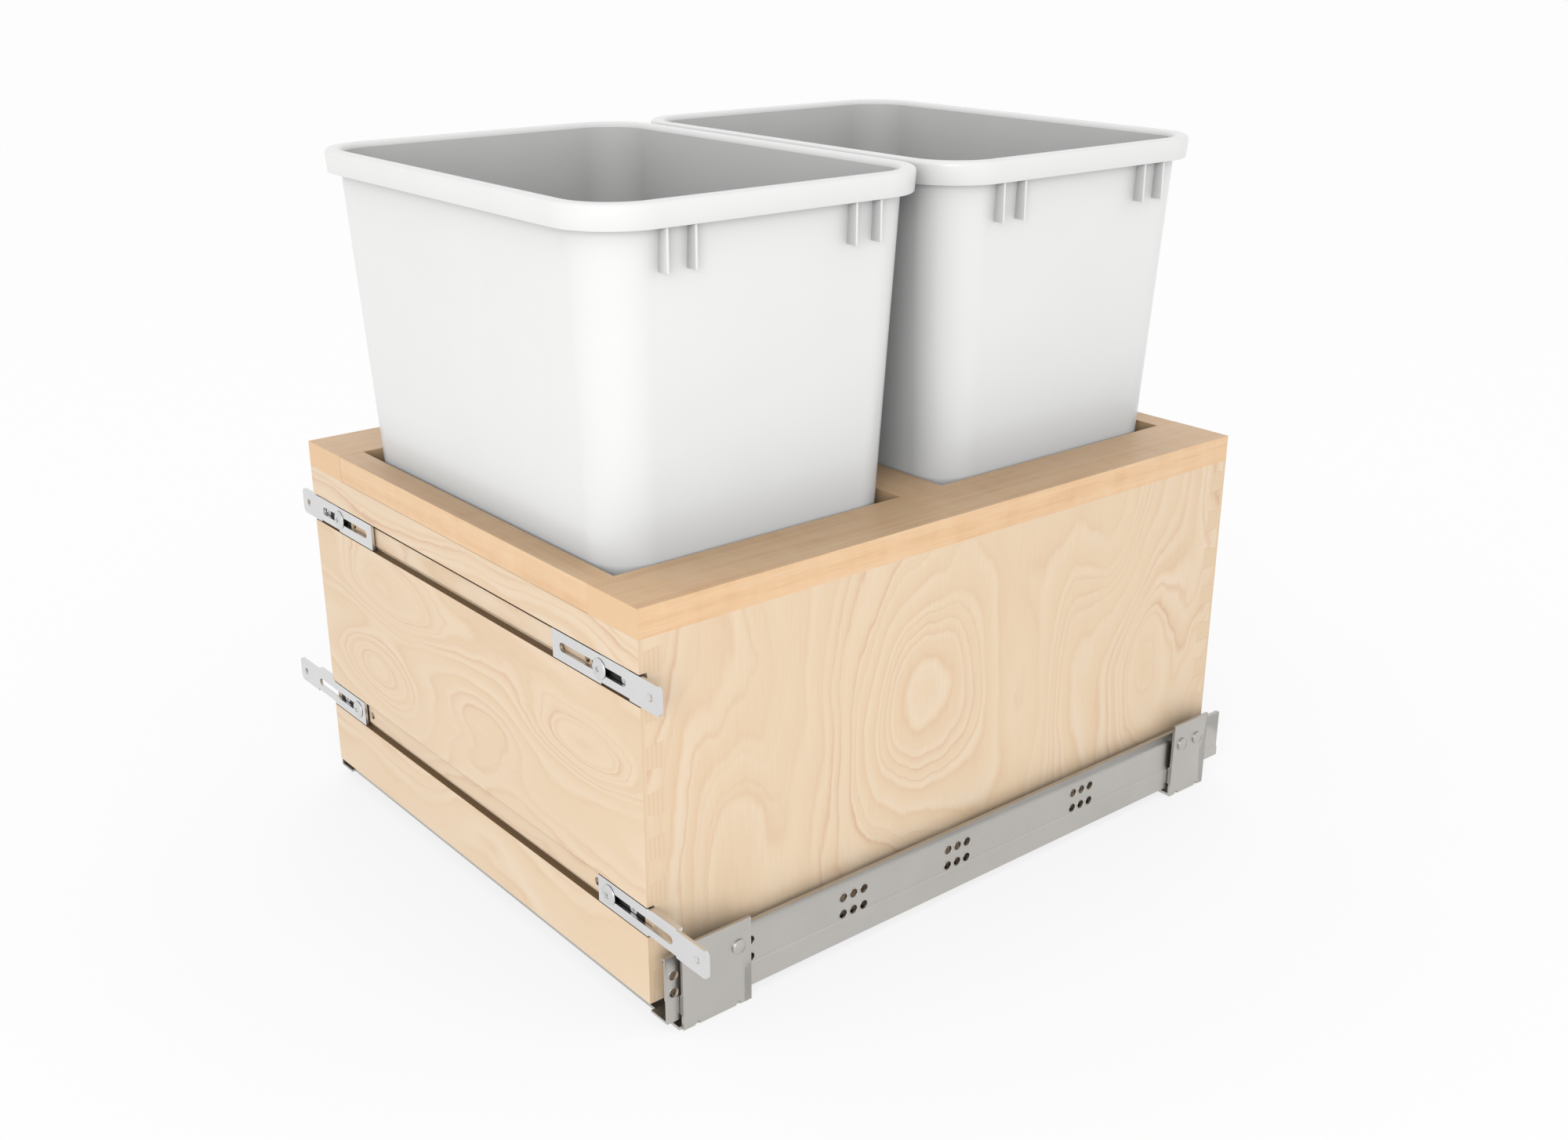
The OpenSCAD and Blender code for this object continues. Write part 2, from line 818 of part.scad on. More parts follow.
module right_lock_slider() {
    color(grey_plastic) place() lock_slider();
}

module lock_screws() {
    color(bright_steel) place() both_sides()
        for (y = lock_screw_places)
            translate([lock_screw_x, y, lock_low]) wood_screw(lock_screw_length);
}

// Box panels

// Height of the lower and upper edge of tail number k at its root or tip
function tail_edges(k, pin) = [
    max(0, k * pin_pitch - (pin_pitch - pin) / 2),
    min(panel_height, k * pin_pitch + (pin_pitch - pin) / 2)
];

// Outline of one box side with its tails at the front and the back
function side_outline() = [
    for (k = [0 : pin_count])
        let (root = tail_edges(k, pin_root), tip = tail_edges(k, pin_tip))
        each [[panel_thick, root[0]], [dovetail_lap, tip[0]],
              [dovetail_lap, tip[1]], [panel_thick, root[1]]],
    for (k = [pin_count : -1 : 0])
        let (root = tail_edges(k, pin_root), tip = tail_edges(k, pin_tip), back = box_depth)
        each [[back - panel_thick, root[1]], [back - dovetail_lap, tip[1]],
              [back - dovetail_lap, tip[0]], [back - panel_thick, root[0]]]
];

// Sockets for the tails in the front panel
module tail_sockets() {
    both_sides() along_x(inner_x, side_x + cut)
        for (k = [0 : pin_count])
            let (root = tail_edges(k, pin_root), tip = tail_edges(k, pin_tip),
                 low = k == 0 ? -cut : root[0], high = k == pin_count ? panel_height + cut : root[1],
                 tip_low = k == 0 ? -cut : tip[0], tip_high = k == pin_count ? panel_height + cut : tip[1])
            polygon([[panel_thick + cut, low], [panel_thick, low], [dovetail_lap, tip_low],
                     [dovetail_lap, tip_high], [panel_thick, high], [panel_thick + cut, high]]);
}

module bottom_block(play) {
    edge = bottom_groove - play;
    block([-inner_x - edge, panel_thick - edge, bottom_recess],
          [inner_x + edge, box_depth - panel_thick + edge, bottom_top]);
}

// Grooves across the front face for the door plates, each with a deeper saw cut along both edges
// and a pocket as deep for each clamp bar
module door_grooves() {
    for (z = [low_groove_height, top_groove]) {
        low = z - groove_height / 2;
        high = z + groove_height / 2;
        block([-side_x - cut, -cut, low], [side_x + cut, land_depth, high]);
        for (edge = [low, high - kerf_height])
            block([-side_x - cut, -cut, edge], [side_x + cut, groove_depth, edge + kerf_height]);
        both_sides()
            block([bar_start - clamp_hole_play, -cut, low],
                  [bar_start + bar_length + clamp_hole_play, groove_depth, high]);
    }
}

module front_panel() {
    color(birch) place() difference() {
        block([-side_x, 0, 0], [side_x, panel_thick, panel_height]);
        tail_sockets();
        bottom_block(0);
        door_grooves();
        both_sides() for (z = [low_groove_height, top_groove]) clamp_holes(z);
    }
}

// Notches that let the slides pass under the back panel, and the holes for their hooks
module slide_notches() {
    margin = 4;
    both_sides() {
        block([track_x - track_half - margin, -cut, -cut], [inner_x, panel_thick + cut, bottom_recess]);
        rod_y(track_x, -cut, peg_length + cut, peg_z, peg_d + 2 * fit);
    }
}

module back_panel() {
    color(birch) place() difference() {
        translate([0, box_depth, 0]) mirror([0, 1, 0]) difference() {
            block([-side_x, 0, 0], [side_x, panel_thick, panel_height]);
            tail_sockets();
            slide_notches();
        }
        bottom_block(0);
    }
}

// Upright dowels between a box side and its stile, with some wood left above them
side_dowel_reach = dowel_length / 2;
dowel_cover = 3;
dowel_end_play = 1;

module side_dowel(d, play) {
    for (i = [0 : side_dowels - 1])
        rod_z(side_x - panel_thick / 2, box_depth * (i + 0.5) / side_dowels,
              panel_height - side_dowel_reach - play,
              panel_height + min(side_dowel_reach, frame_thick - dowel_cover) + play, d);
}

module side() {
    difference() {
        along_x(inner_x, side_x) polygon(side_outline());
        bottom_block(0);
        door_grooves();
        side_dowel(dowel_d + 2 * dowel_play, dowel_end_play);
    }
}

module left_side() {
    color(birch) place() left() side();
}

module right_side() {
    color(birch) place() side();
}

module bottom_panel() {
    color(birch) place() difference() {
        bottom_block(bottom_play);
        both_sides() lock_screw_holes();
    }
}

// Face frame

module stile() {
    difference() {
        block([side_x - stile_width, 0, panel_height], [side_x, box_depth, frame_top]);
        side_dowel(dowel_d + 2 * dowel_play, dowel_end_play);
        rail_dowel_rows(dowel_d + 2 * dowel_play, dowel_end_play);
    }
}

module left_stile() {
    color(maple) place() left() stile();
}

module right_stile() {
    color(maple) place() stile();
}

// Depths of the dowels at the ends of the rails: one in an end rail, two in the centre rail
rail_dowel_places = [
    end_rail_width / 2,
    end_rail_width + opening_y + centre_rail_width * 0.25,
    end_rail_width + opening_y + centre_rail_width * 0.75,
    box_depth - end_rail_width / 2
];

module rail_dowel_rows(d, play) {
    joint_x = side_x - stile_width;
    for (y = rail_dowel_places)
        rod_x(joint_x - dowel_length / 2 - play, joint_x + dowel_length / 2 + play,
              y, panel_height + frame_thick / 2, d);
}

module rail(y0, width) {
    difference() {
        block([-opening_x / 2, y0, panel_height], [opening_x / 2, y0 + width, frame_top]);
        both_sides() rail_dowel_rows(dowel_d + 2 * dowel_play, dowel_end_play);
    }
}

module front_rail() {
    color(maple) place() rail(0, end_rail_width);
}

module centre_rail() {
    color(maple) place() rail(end_rail_width + opening_y, centre_rail_width);
}

module rear_rail() {
    color(maple) place() rail(box_depth - end_rail_width, end_rail_width);
}

module rail_dowels() {
    color(beech) place() both_sides() rail_dowel_rows(dowel_d, 0);
}

module side_dowel_set() {
    color(beech) place() both_sides() side_dowel(dowel_d, 0);
}

// Clamps for the door plates

bar_start = clamp_x - bar_screw_place;
bar_screw_x = clamp_x + bar_screw_pitch;
screw_end_wood = 3;
clamp_hole_play = 0.5;
clamp_recess_share = 0.7;
clamp_screw_length = panel_thick - screw_end_wood;
bar_screw_length = panel_thick - groove_depth + bar_thick - screw_end_wood;

module at_bar_screw(z) {
    translate([bar_screw_x, groove_depth - bar_thick, z]) rotate([-90, 0, 0]) children();
}

// Holes behind one door plate
module clamp_holes(z) {
    rod_y(clamp_x, -cut, clamp_screw_length + cut, z, clamp_screw_d + 2 * clamp_hole_play);
    rod_y(clamp_x - pilot_offset, -cut, clamp_screw_length, z, pilot_d);
    at_bar_screw(z) wood_screw_space(bar_screw_length);
}

module clamp_bar(z) {
    difference() {
        block([bar_start, groove_depth - bar_thick, z - bar_height / 2],
              [bar_start + bar_length, groove_depth, z + bar_height / 2]);
        rod_y(clamp_x, -cut, groove_depth + cut, z, clamp_screw_d + 2 * fit);
        at_bar_screw(z) wood_screw_space(bar_screw_length);
    }
}

module clamp_bars() {
    color(dark_steel) place() both_sides() for (z = [low_groove_height, top_groove]) clamp_bar(z);
}

module bar_screws() {
    color(bright_steel) place() both_sides()
        for (z = [low_groove_height, top_groove]) at_bar_screw(z) wood_screw(bar_screw_length);
}

module clamp_screw(z) {
    translate([clamp_x, -touch_gap, z]) rotate([90, 0, 0]) difference() {
        union() {
            dome(clamp_head_d, clamp_head_height);
            translate([0, 0, -clamp_screw_length - touch_gap])
                cylinder(d = clamp_screw_d, h = clamp_screw_length + touch_gap + fit);
        }
        translate([0, 0, clamp_head_height]) mirror([0, 0, 1])
            cross_recess(clamp_head_d * clamp_recess_share);
    }
}

module clamp_screws() {
    color(bright_steel) place() both_sides() for (z = [low_groove_height, top_groove]) clamp_screw(z);
}

// Door plates

// Outline of a plate from its square inner end at x = 0 to its rounded outer end
module plate_outline() {
    half = plate_height / 2;
    straight = plate_length - plate_corner;
    translate([0, -half]) square([straight, plate_height]);
    translate([0, plate_corner - half]) square([plate_length, plate_height - 2 * plate_corner]);
    for (end = [-1, 1])
        translate([straight, end * (half - plate_corner)]) circle(plate_corner);
}

module slot_outline() {
    round = slot_height / 2;
    translate([slot_start + round, -round]) square([slot_length - slot_height, slot_height]);
    for (x = [slot_start + round, slot_start + slot_length - round]) translate([x, 0]) circle(round);
}

// Corner that the fold of a bent edge rounds off, as thick as the sheet
module fold_corner(edge) {
    translate([0, edge]) difference() {
        translate([-cut, -plate_thick]) square(plate_thick + cut);
        translate([plate_thick, -plate_thick]) circle(plate_thick);
    }
}

module door_plate() {
    half = plate_height / 2;
    edge_end = plate_edge_start + plate_edge_length;
    difference() {
        union() {
            along_y(0, plate_thick) difference() {
                plate_outline();
                slot_outline();
                translate([plate_length - door_hole_inset, 0]) circle(d = door_hole_d);
            }
            for (low = [-half, half - plate_thick])
                block([plate_edge_start, plate_thick - fit, low],
                      [edge_end, plate_edge_depth, low + plate_thick]);
        }
        for (flip = [0, 1]) mirror([0, 0, flip])
            along_x(plate_edge_start, edge_end) fold_corner(half);
    }
}

module top_plate() {
    translate([side_x + top_reach - plate_length, 0, top_groove]) door_plate();
}

module low_plate() {
    translate([side_x + full_reach - plate_length, 0, low_groove_height]) door_plate();
}

module top_left_plate() {
    color(bright_steel) place() left() top_plate();
}

module top_right_plate() {
    color(bright_steel) place() top_plate();
}

module low_left_plate() {
    color(bright_steel) place() left() low_plate();
}

module low_right_plate() {
    color(bright_steel) place() low_plate();
}

// Bins

corner_steps = 10;

// Points of a rounded rectangle of half sizes a and b and corner radius r at height z
function ring(a, b, r, z) = [
    for (corner = [[1, 1], [-1, 1], [-1, -1], [1, -1]], step = [0 : corner_steps])
        let (start = corner[0] > 0 ? (corner[1] > 0 ? 0 : 270) : (corner[1] > 0 ? 90 : 180),
             angle = start + 90 * step / corner_steps)
        [corner[0] * (a - r) + r * cos(angle), corner[1] * (b - r) + r * sin(angle), z]
];

// Ring of the outer wall at height z, grown outwards by out
function wall_ring(z, out) =
    let (grow = (z - frame_top) * bin_taper + out,
         corner = bin_corner_top - (rim_under - z) * corner_taper + out)
    ring(opening_half_x + grow, opening_half_y + grow, corner, z);

// Ring that rounds an edge: centre of the rounding is radius inside the wall and above or below height z
function rounded(z, out, radius, angle, up) =
    let (height = z + up * (radius - radius * sin(angle)))
    [for (p = wall_ring(z, out - radius + radius * cos(angle))) [p[0], p[1], height]];

// Rings from the outside of the floor, up the wall, over the rim and down the inside
function bin_rings() = [
    for (angle = [90, 60, 30]) rounded(bottom_top, 0, bin_edge, angle, 1),
    wall_ring(bottom_top + bin_edge, 0),
    wall_ring(rim_top - bin_wall, 0),
    wall_ring(rim_top - bin_wall, rim_overhang - bin_wall),
    wall_ring(rim_under, rim_overhang - bin_wall),
    wall_ring(rim_under, rim_overhang),
    wall_ring(rim_top - rim_edge, rim_overhang),
    for (angle = [30, 60, 90]) rounded(rim_top, rim_overhang, rim_edge, angle, -1),
    wall_ring(rim_top, 0),
    wall_ring(rim_top - bin_edge / 2, -bin_wall),
    wall_ring(bottom_top + bin_floor + bin_edge, -bin_wall),
    for (angle = [30, 60, 90]) rounded(bottom_top + bin_floor, -bin_wall, bin_edge, angle, 1)
];

// One closed skin through all rings, with a flat cap at each end
module loft(rings) {
    n = len(rings[0]);
    last = len(rings) - 1;
    points = [for (r = rings) each r];
    walls = [
        for (i = [0 : last - 1], j = [0 : n - 1])
            let (a = i * n + j, b = i * n + (j + 1) % n)
            each [[a, a + n, b], [b, a + n, b + n]]
    ];
    first_cap = [for (j = [1 : n - 2]) [0, j, j + 1]];
    last_cap = [for (j = [1 : n - 2]) [last * n, last * n + j + 1, last * n + j]];
    polyhedron(points, concat(walls, first_cap, last_cap));
}

// Fins under the rim at both ends of a bin
module fins() {
    foot = rim_under - fin_height;
    root = opening_half_x + (foot - frame_top) * bin_taper - bin_wall / 2;
    tip = opening_half_x + (rim_under - frame_top) * bin_taper + rim_overhang - bin_wall / 2;
    for (pair = [-1, 1], fin = [-1, 1])
        translate([0, pair * fin_pair_place + fin * fin_pair_pitch / 2 + fin_thick / 2, 0])
            rotate([90, 0, 0]) linear_extrude(fin_thick)
                polygon([[root, foot], [tip - bin_wall, foot + bin_wall], [tip, rim_under + bin_wall],
                         [root + fin_height * bin_taper, rim_under + bin_wall]]);
}

module bin() {
    loft(bin_rings());
    both_sides() fins();
}

module front_bin() {
    color(white_plastic) place() translate([0, front_bin_y, 0]) bin();
}

module rear_bin() {
    color(white_plastic) place() translate([0, front_bin_y + bin_pitch, 0]) bin();
}

left_fixed_rail();
right_fixed_rail();
front_bracket();
rear_left_foot();
rear_right_foot();
foot_rivets();
rear_stops();
left_lower_cage();
right_lower_cage();
left_lower_rollers();
right_lower_rollers();
left_middle_rail();
right_middle_rail();
left_upper_cage();
right_upper_cage();
left_upper_rollers();
right_upper_rollers();
left_drawer_rail();
right_drawer_rail();
left_lock_body();
right_lock_body();
left_lock_slider();
right_lock_slider();
lock_screws();
front_panel();
back_panel();
left_side();
right_side();
bottom_panel();
left_stile();
right_stile();
front_rail();
centre_rail();
rear_rail();
rail_dowels();
side_dowel_set();
clamp_bars();
bar_screws();
clamp_screws();
top_left_plate();
top_right_plate();
low_left_plate();
low_right_plate();
front_bin();
rear_bin();
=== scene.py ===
import math

import bmesh
import bpy
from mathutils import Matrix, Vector


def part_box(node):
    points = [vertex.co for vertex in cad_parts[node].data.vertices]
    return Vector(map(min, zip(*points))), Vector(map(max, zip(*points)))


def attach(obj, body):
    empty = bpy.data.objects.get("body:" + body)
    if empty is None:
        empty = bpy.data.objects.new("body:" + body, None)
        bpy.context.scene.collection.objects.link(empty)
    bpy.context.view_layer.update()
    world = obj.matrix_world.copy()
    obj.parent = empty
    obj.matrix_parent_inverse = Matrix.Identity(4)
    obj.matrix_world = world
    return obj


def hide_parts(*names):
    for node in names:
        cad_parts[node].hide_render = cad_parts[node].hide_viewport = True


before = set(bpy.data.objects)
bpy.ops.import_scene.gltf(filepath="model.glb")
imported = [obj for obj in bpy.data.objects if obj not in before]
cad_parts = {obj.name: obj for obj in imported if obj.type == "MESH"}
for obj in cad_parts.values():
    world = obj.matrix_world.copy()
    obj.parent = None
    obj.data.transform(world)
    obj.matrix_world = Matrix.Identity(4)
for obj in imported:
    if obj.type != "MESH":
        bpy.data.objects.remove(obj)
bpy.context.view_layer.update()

# Fixed slide rails, front bracket and rear feet: zinc-plated sheet steel.
# The rails are roll-formed into a web, a floor flange and a lipped track; the feet are folded and
# riveted to the webs. Rolling leaves faint lines, and every sheared edge is slightly eased.

MM = 0.001


def linear(code):
    """sRGB hex to the linear colour that a shader socket takes."""
    parts = [int(code[i:i + 2], 16) / 255 for i in (1, 3, 5)]
    return tuple(c / 12.92 if c <= 0.04045 else ((c + 0.055) / 1.055) ** 2.4 for c in parts) + (1.0,)


def add(tree, kind, sockets=None, **settings):
    """Adds one node, sets its settings, and sets or links its inputs by name or number."""
    node = tree.nodes.new(kind)
    for key, value in settings.items():
        setattr(node, key, value)
    for key, value in (sockets or {}).items():
        if isinstance(value, bpy.types.NodeSocket):
            tree.links.new(value, node.inputs[key])
        else:
            node.inputs[key].default_value = value
    return node


def maths(tree, operation, *values):
    return add(tree, "ShaderNodeMath", dict(enumerate(values)), operation=operation).outputs[0]


def cells(tree, place, sizes_mm, shift=(0, 0, 0)):
    """Coordinates counted in cells of the given size along each axis."""
    scale = tuple(1 / (size * MM) for size in sizes_mm)
    return add(tree, "ShaderNodeMapping", {"Vector": place, "Location": shift, "Scale": scale}).outputs[0]


def noise(tree, place, detail, roughness=0.5):
    return add(tree, "ShaderNodeTexNoise", {"Vector": place, "Scale": 1.0, "Detail": detail,
                                            "Roughness": roughness}).outputs[0]


def span(tree, value, old, new=(0.0, 1.0)):
    """Maps the old range of a value to the new one, and holds it there."""
    return add(tree, "ShaderNodeMapRange", {"Value": value, "From Min": old[0], "From Max": old[1],
                                            "To Min": new[0], "To Max": new[1]}).outputs[0]


def mixed(tree, factor, first, second):
    """Colour between two colours."""
    return add(tree, "ShaderNodeMix", {"Factor": factor, 6: first, 7: second}, data_type="RGBA").outputs[2]


def material(name, roughness, metallic=0.0, ior=1.5):
    """An empty principled material: its tree, its shader and the piece's own coordinates."""
    made = bpy.data.materials.new(name)
    made.use_nodes = True
    tree = made.node_tree
    shader = tree.nodes["Principled BSDF"]
    shader.inputs["Roughness"].default_value = roughness
    shader.inputs["Metallic"].default_value = metallic
    shader.inputs["IOR"].default_value = ior
    place = tree.nodes.new("ShaderNodeTexCoord").outputs["Object"]
    return made, tree, shader, place


def surface(tree, shader, colour, gloss, height, strength, depth_mm):
    """Links colour, gloss and a fine relief to the shader."""
    relief = add(tree, "ShaderNodeBump", {"Height": height, "Strength": strength, "Distance": depth_mm * MM})
    tree.links.new(colour, shader.inputs["Base Color"])
    tree.links.new(gloss, shader.inputs["Roughness"])
    tree.links.new(relief.outputs[0], shader.inputs["Normal"])


def rolled_steel(name, dark, light, line_mm, length_mm, roughness, bump):
    """Plated sheet: a metal whose colour and gloss vary a little along the rolling direction Y."""
    made, tree, shader, place = material(name, roughness, metallic=1.0)
    cloud_mm = 40
    lines = noise(tree, cells(tree, place, (line_mm, length_mm, line_mm)), 3.0)
    clouds = noise(tree, cells(tree, place, (cloud_mm, cloud_mm, cloud_mm)), 2.0)
    both = span(tree, maths(tree, "MULTIPLY_ADD", lines, 0.5, clouds), (0.45, 1.05))
    colour = mixed(tree, both, linear(dark), linear(light))
    gloss = span(tree, both, (0.0, 1.0), (roughness - 0.05, roughness + 0.06))
    surface(tree, shader, colour, gloss, lines, bump, 0.02)
    return made


def placed(name, data):
    """A new object in the scene."""
    thing = bpy.data.objects.new(name, data)
    bpy.context.scene.collection.objects.link(thing)
    return thing


def bake(piece):
    """Turns a piece and its modifiers into one plain mesh."""
    bpy.context.view_layer.update()
    mesh = bpy.data.meshes.new_from_object(piece.evaluated_get(bpy.context.evaluated_depsgraph_get()))
    piece.modifiers.clear()
    piece.data = mesh


weld = 0.002 * MM
coplanar = math.radians(0.4)
eased_above = math.radians(35)
crease = math.radians(32)


def dress(node, body, finish, ease_mm):
    """A copy of a CAD node with eased edges, which stands for the node and rides on its body."""
    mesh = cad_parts[node].data.copy()
    mesh.materials.clear()
    mesh.materials.append(finish)
    shape = bmesh.new()
    shape.from_mesh(mesh)
    bmesh.ops.remove_doubles(shape, verts=shape.verts, dist=weld)
    bmesh.ops.dissolve_limit(shape, angle_limit=coplanar, verts=shape.verts, edges=shape.edges)
    shape.to_mesh(mesh)
    shape.free()
    for face in mesh.polygons:
        face.material_index = 0
        face.use_smooth = True
    piece = placed(node + "_piece", mesh)
    bevel = piece.modifiers.new("eased", "BEVEL")
    bevel.width = ease_mm * MM
    bevel.segments = 2
    bevel.limit_method = "ANGLE"
    bevel.angle_limit = eased_above
    bevel.use_clamp_overlap = True
    bevel.face_strength_mode = "FSTR_ALL"
    even = piece.modifiers.new("even_triangles", "TRIANGULATE")
    even.ngon_method = "BEAUTY"
    even.min_vertices = 5
    flat_faces = piece.modifiers.new("flat_faces", "WEIGHTED_NORMAL")
    flat_faces.keep_sharp = True
    flat_faces.use_face_influence = True
    bake(piece)
    piece.data.set_sharp_from_angle(angle=crease)
    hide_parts(node)
    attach(piece, body)


satin_zinc = rolled_steel("satin_zinc_plated_steel", "#b8b5b0", "#c1beb9",
                          line_mm=0.9, length_mm=60, roughness=0.36, bump=0.1)
dress("front_bracket", "fixed_slides", satin_zinc, ease_mm=0.45)
for side in ("left", "right"):
    dress(side + "_fixed_rail", "fixed_slides", satin_zinc, ease_mm=0.3)
    dress("rear_" + side + "_foot", "fixed_slides", satin_zinc, ease_mm=0.45)

# Collars of the wall holes: the same plated steel as the rails.
# Each hole is pierced and drawn, which leaves a small rolled ring round it. The ring stands out
# of the web by a third of a millimetre.


def repeated(name, places, turns, sizes, shape, finish):
    """Sets one shape at every place by a Geometry Nodes tree, whose inputs are the shape's sizes."""
    points = bpy.data.meshes.new(name)
    points.from_pydata(places, [], [])
    for item, value in zip(points.attributes.new("turn", "FLOAT_VECTOR", "POINT").data, turns):
        item.vector = value
    piece = placed(name, points)
    tree = bpy.data.node_groups.new(name, "GeometryNodeTree")
    for way in ("INPUT", "OUTPUT"):
        tree.interface.new_socket("Geometry", in_out=way, socket_type="NodeSocketGeometry")
    for key, value in sizes.items():
        socket = tree.interface.new_socket(key, in_out="INPUT", socket_type="NodeSocketFloat")
        socket.default_value = value
    size = tree.nodes.new("NodeGroupInput").outputs
    turn = add(tree, "GeometryNodeInputNamedAttribute", {"Name": "turn"}, data_type="FLOAT_VECTOR")
    rotation = add(tree, "FunctionNodeEulerToRotation", {"Euler": turn.outputs[0]})
    spread = add(tree, "GeometryNodeInstanceOnPoints", {
        "Points": size["Geometry"], "Instance": shape(tree, size), "Rotation": rotation.outputs[0]})
    solid = add(tree, "GeometryNodeRealizeInstances", {"Geometry": spread.outputs[0]})
    smooth = add(tree, "GeometryNodeSetShadeSmooth", {"Geometry": solid.outputs[0], "Shade Smooth": True})
    dressed = add(tree, "GeometryNodeSetMaterial", {"Geometry": smooth.outputs[0], "Material": finish})
    add(tree, "NodeGroupOutput", {"Geometry": dressed.outputs[0]})
    modifier = piece.modifiers.new(name, "NODES")
    modifier.node_group = tree
    for socket in tree.interface.items_tree:
        if socket.name in sizes:
            modifier[socket.identifier] = sizes[socket.name]
    bake(piece)
    return piece


def collar(tree, size):
    path = add(tree, "GeometryNodeCurvePrimitiveCircle", {"Resolution": 32, "Radius": size["Hole Radius"]})
    roll = add(tree, "GeometryNodeCurvePrimitiveCircle", {"Resolution": 10, "Radius": size["Roll Radius"]})
    ring = add(tree, "GeometryNodeCurveToMesh", {"Curve": path.outputs[0], "Profile Curve": roll.outputs[0]})
    return ring.outputs[0]


# Places in millimetres behind the front face and above the lower edge of the panels
front_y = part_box("front_panel")[0].y
panel_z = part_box("front_panel")[0].z
web_step = 0.8
web_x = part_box("right_fixed_rail")[1].x - web_step * MM
hole_pitch = 9.1
group_starts = (11.0, 148.2, 244.2, 372.2)
column_behind_foot = 70.5
hole_rows = (8.8, 21.1)
columns = [start + hole_pitch * i for start in group_starts for i in range(3)] + [column_behind_foot]
hole_places = [(s * web_x, front_y + y * MM, panel_z + z * MM)
               for s in (-1, 1) for y in columns for z in hole_rows]
hole_turns = [(0, math.pi / 2, 0)] * len(hole_places)
collar_sizes = {"Hole Radius": 3.42 * MM, "Roll Radius": 0.32 * MM}
collars = repeated("wall_hole_collars", hole_places, hole_turns, collar_sizes, collar, satin_zinc)
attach(collars, "fixed_slides")

# Foot rivets: shouldered steel rivets, plated like the rails, upset through the web.
# A flat head with an eased edge shows outside, and a collar keeps the foot off the web.


def vector(tree, x=0.0, y=0.0, z=0.0):
    return add(tree, "ShaderNodeCombineXYZ", {0: x, 1: y, 2: z}).outputs[0]


def raised(tree, shape, height):
    """Moves a shape along Z."""
    moved = add(tree, "GeometryNodeTransform", {"Geometry": shape, "Translation": vector(tree, z=height)})
    return moved.outputs[0]


def cylinder(tree, vertices, radius, depth):
    made = add(tree, "GeometryNodeMeshCylinder", {"Vertices": vertices, "Radius": radius, "Depth": depth})
    return made.outputs[0]


def joined(tree, *shapes):
    whole = add(tree, "GeometryNodeJoinGeometry")
    for shape in shapes:
        tree.links.new(shape, whole.inputs[0])
    return whole.outputs[0]


# From the seat of the head through the foot's sheet to the collar
collar_drop = 2.25


def rivet(tree, size):
    half_head = maths(tree, "MULTIPLY", size["Head Height"], 0.5)
    disc = cylinder(tree, 32, size["Head Radius"], half_head)
    disc = raised(tree, disc, maths(tree, "MULTIPLY", size["Head Height"], 0.25))
    top = maths(tree, "SUBTRACT", size["Head Radius"], half_head)
    cone = add(tree, "GeometryNodeMeshCone", {"Vertices": 32, "Radius Top": top,
                                              "Radius Bottom": size["Head Radius"], "Depth": half_head})
    cap = raised(tree, cone.outputs[0], half_head)
    post = cylinder(tree, 32, size["Collar Radius"], size["Collar Length"])
    half_post = maths(tree, "MULTIPLY", size["Collar Length"], -0.5)
    post = raised(tree, post, maths(tree, "SUBTRACT", half_post, collar_drop * MM))
    return joined(tree, disc, cap, post)


foot_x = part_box("rear_right_foot")[1].x
rivet_depths = (57.6, 492.0, 510.0)
rivet_height = 24.5
rivet_places = [(s * foot_x, front_y + y * MM, panel_z + rivet_height * MM)
                for s in (-1, 1) for y in rivet_depths]
rivet_turns = [(0, s * math.pi / 2, 0) for s in (-1, 1) for y in rivet_depths]
rivet_sizes = {"Head Radius": 5.0 * MM, "Head Height": 2.0 * MM,
               "Collar Radius": 4.0 * MM, "Collar Length": 2.5 * MM}
rivets = repeated("foot_rivet_heads", rivet_places, rivet_turns, rivet_sizes, rivet, satin_zinc)
rivets.data.set_sharp_from_angle(angle=math.radians(50))
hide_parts("foot_rivets")
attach(rivets, "fixed_slides")

# Closing stops: two moulded rubber buffers at the rear ends of the tracks.
# Soft black rubber with a fine moulded grain.


def moulded(name, colour, other, grain_mm, roughness, bump, ior=1.5):
    """Moulded plastic or rubber: even colour, slight mottling and a fine grain from the tool."""
    made, tree, shader, place = material(name, roughness, ior=ior)
    cloud_mm = 45
    grain = noise(tree, cells(tree, place, (grain_mm, grain_mm, grain_mm)), 2.0)
    clouds = noise(tree, cells(tree, place, (cloud_mm, cloud_mm, cloud_mm)), 2.0)
    tone = mixed(tree, clouds, linear(colour), linear(other))
    gloss = span(tree, grain, (0.3, 0.7), (roughness - 0.04, roughness + 0.05))
    surface(tree, shader, tone, gloss, grain, bump, 0.03)
    return made


stop_rubber = moulded("moulded_stop_rubber", "#1c1c1c", "#242424",
                      grain_mm=0.8, roughness=0.7, bump=0.3)
dress("rear_stops", "fixed_slides", stop_rubber, ease_mm=0.8)

# Middle rails, roller cages and rollers inside the slides.
# The rails are the same plated steel, the cages moulded acetal and the rollers ground steel.


def paint(node, finish):
    """Gives its finish to a CAD node that is shown as it is."""
    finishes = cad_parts[node].data.materials
    finishes.clear()
    finishes.append(finish)


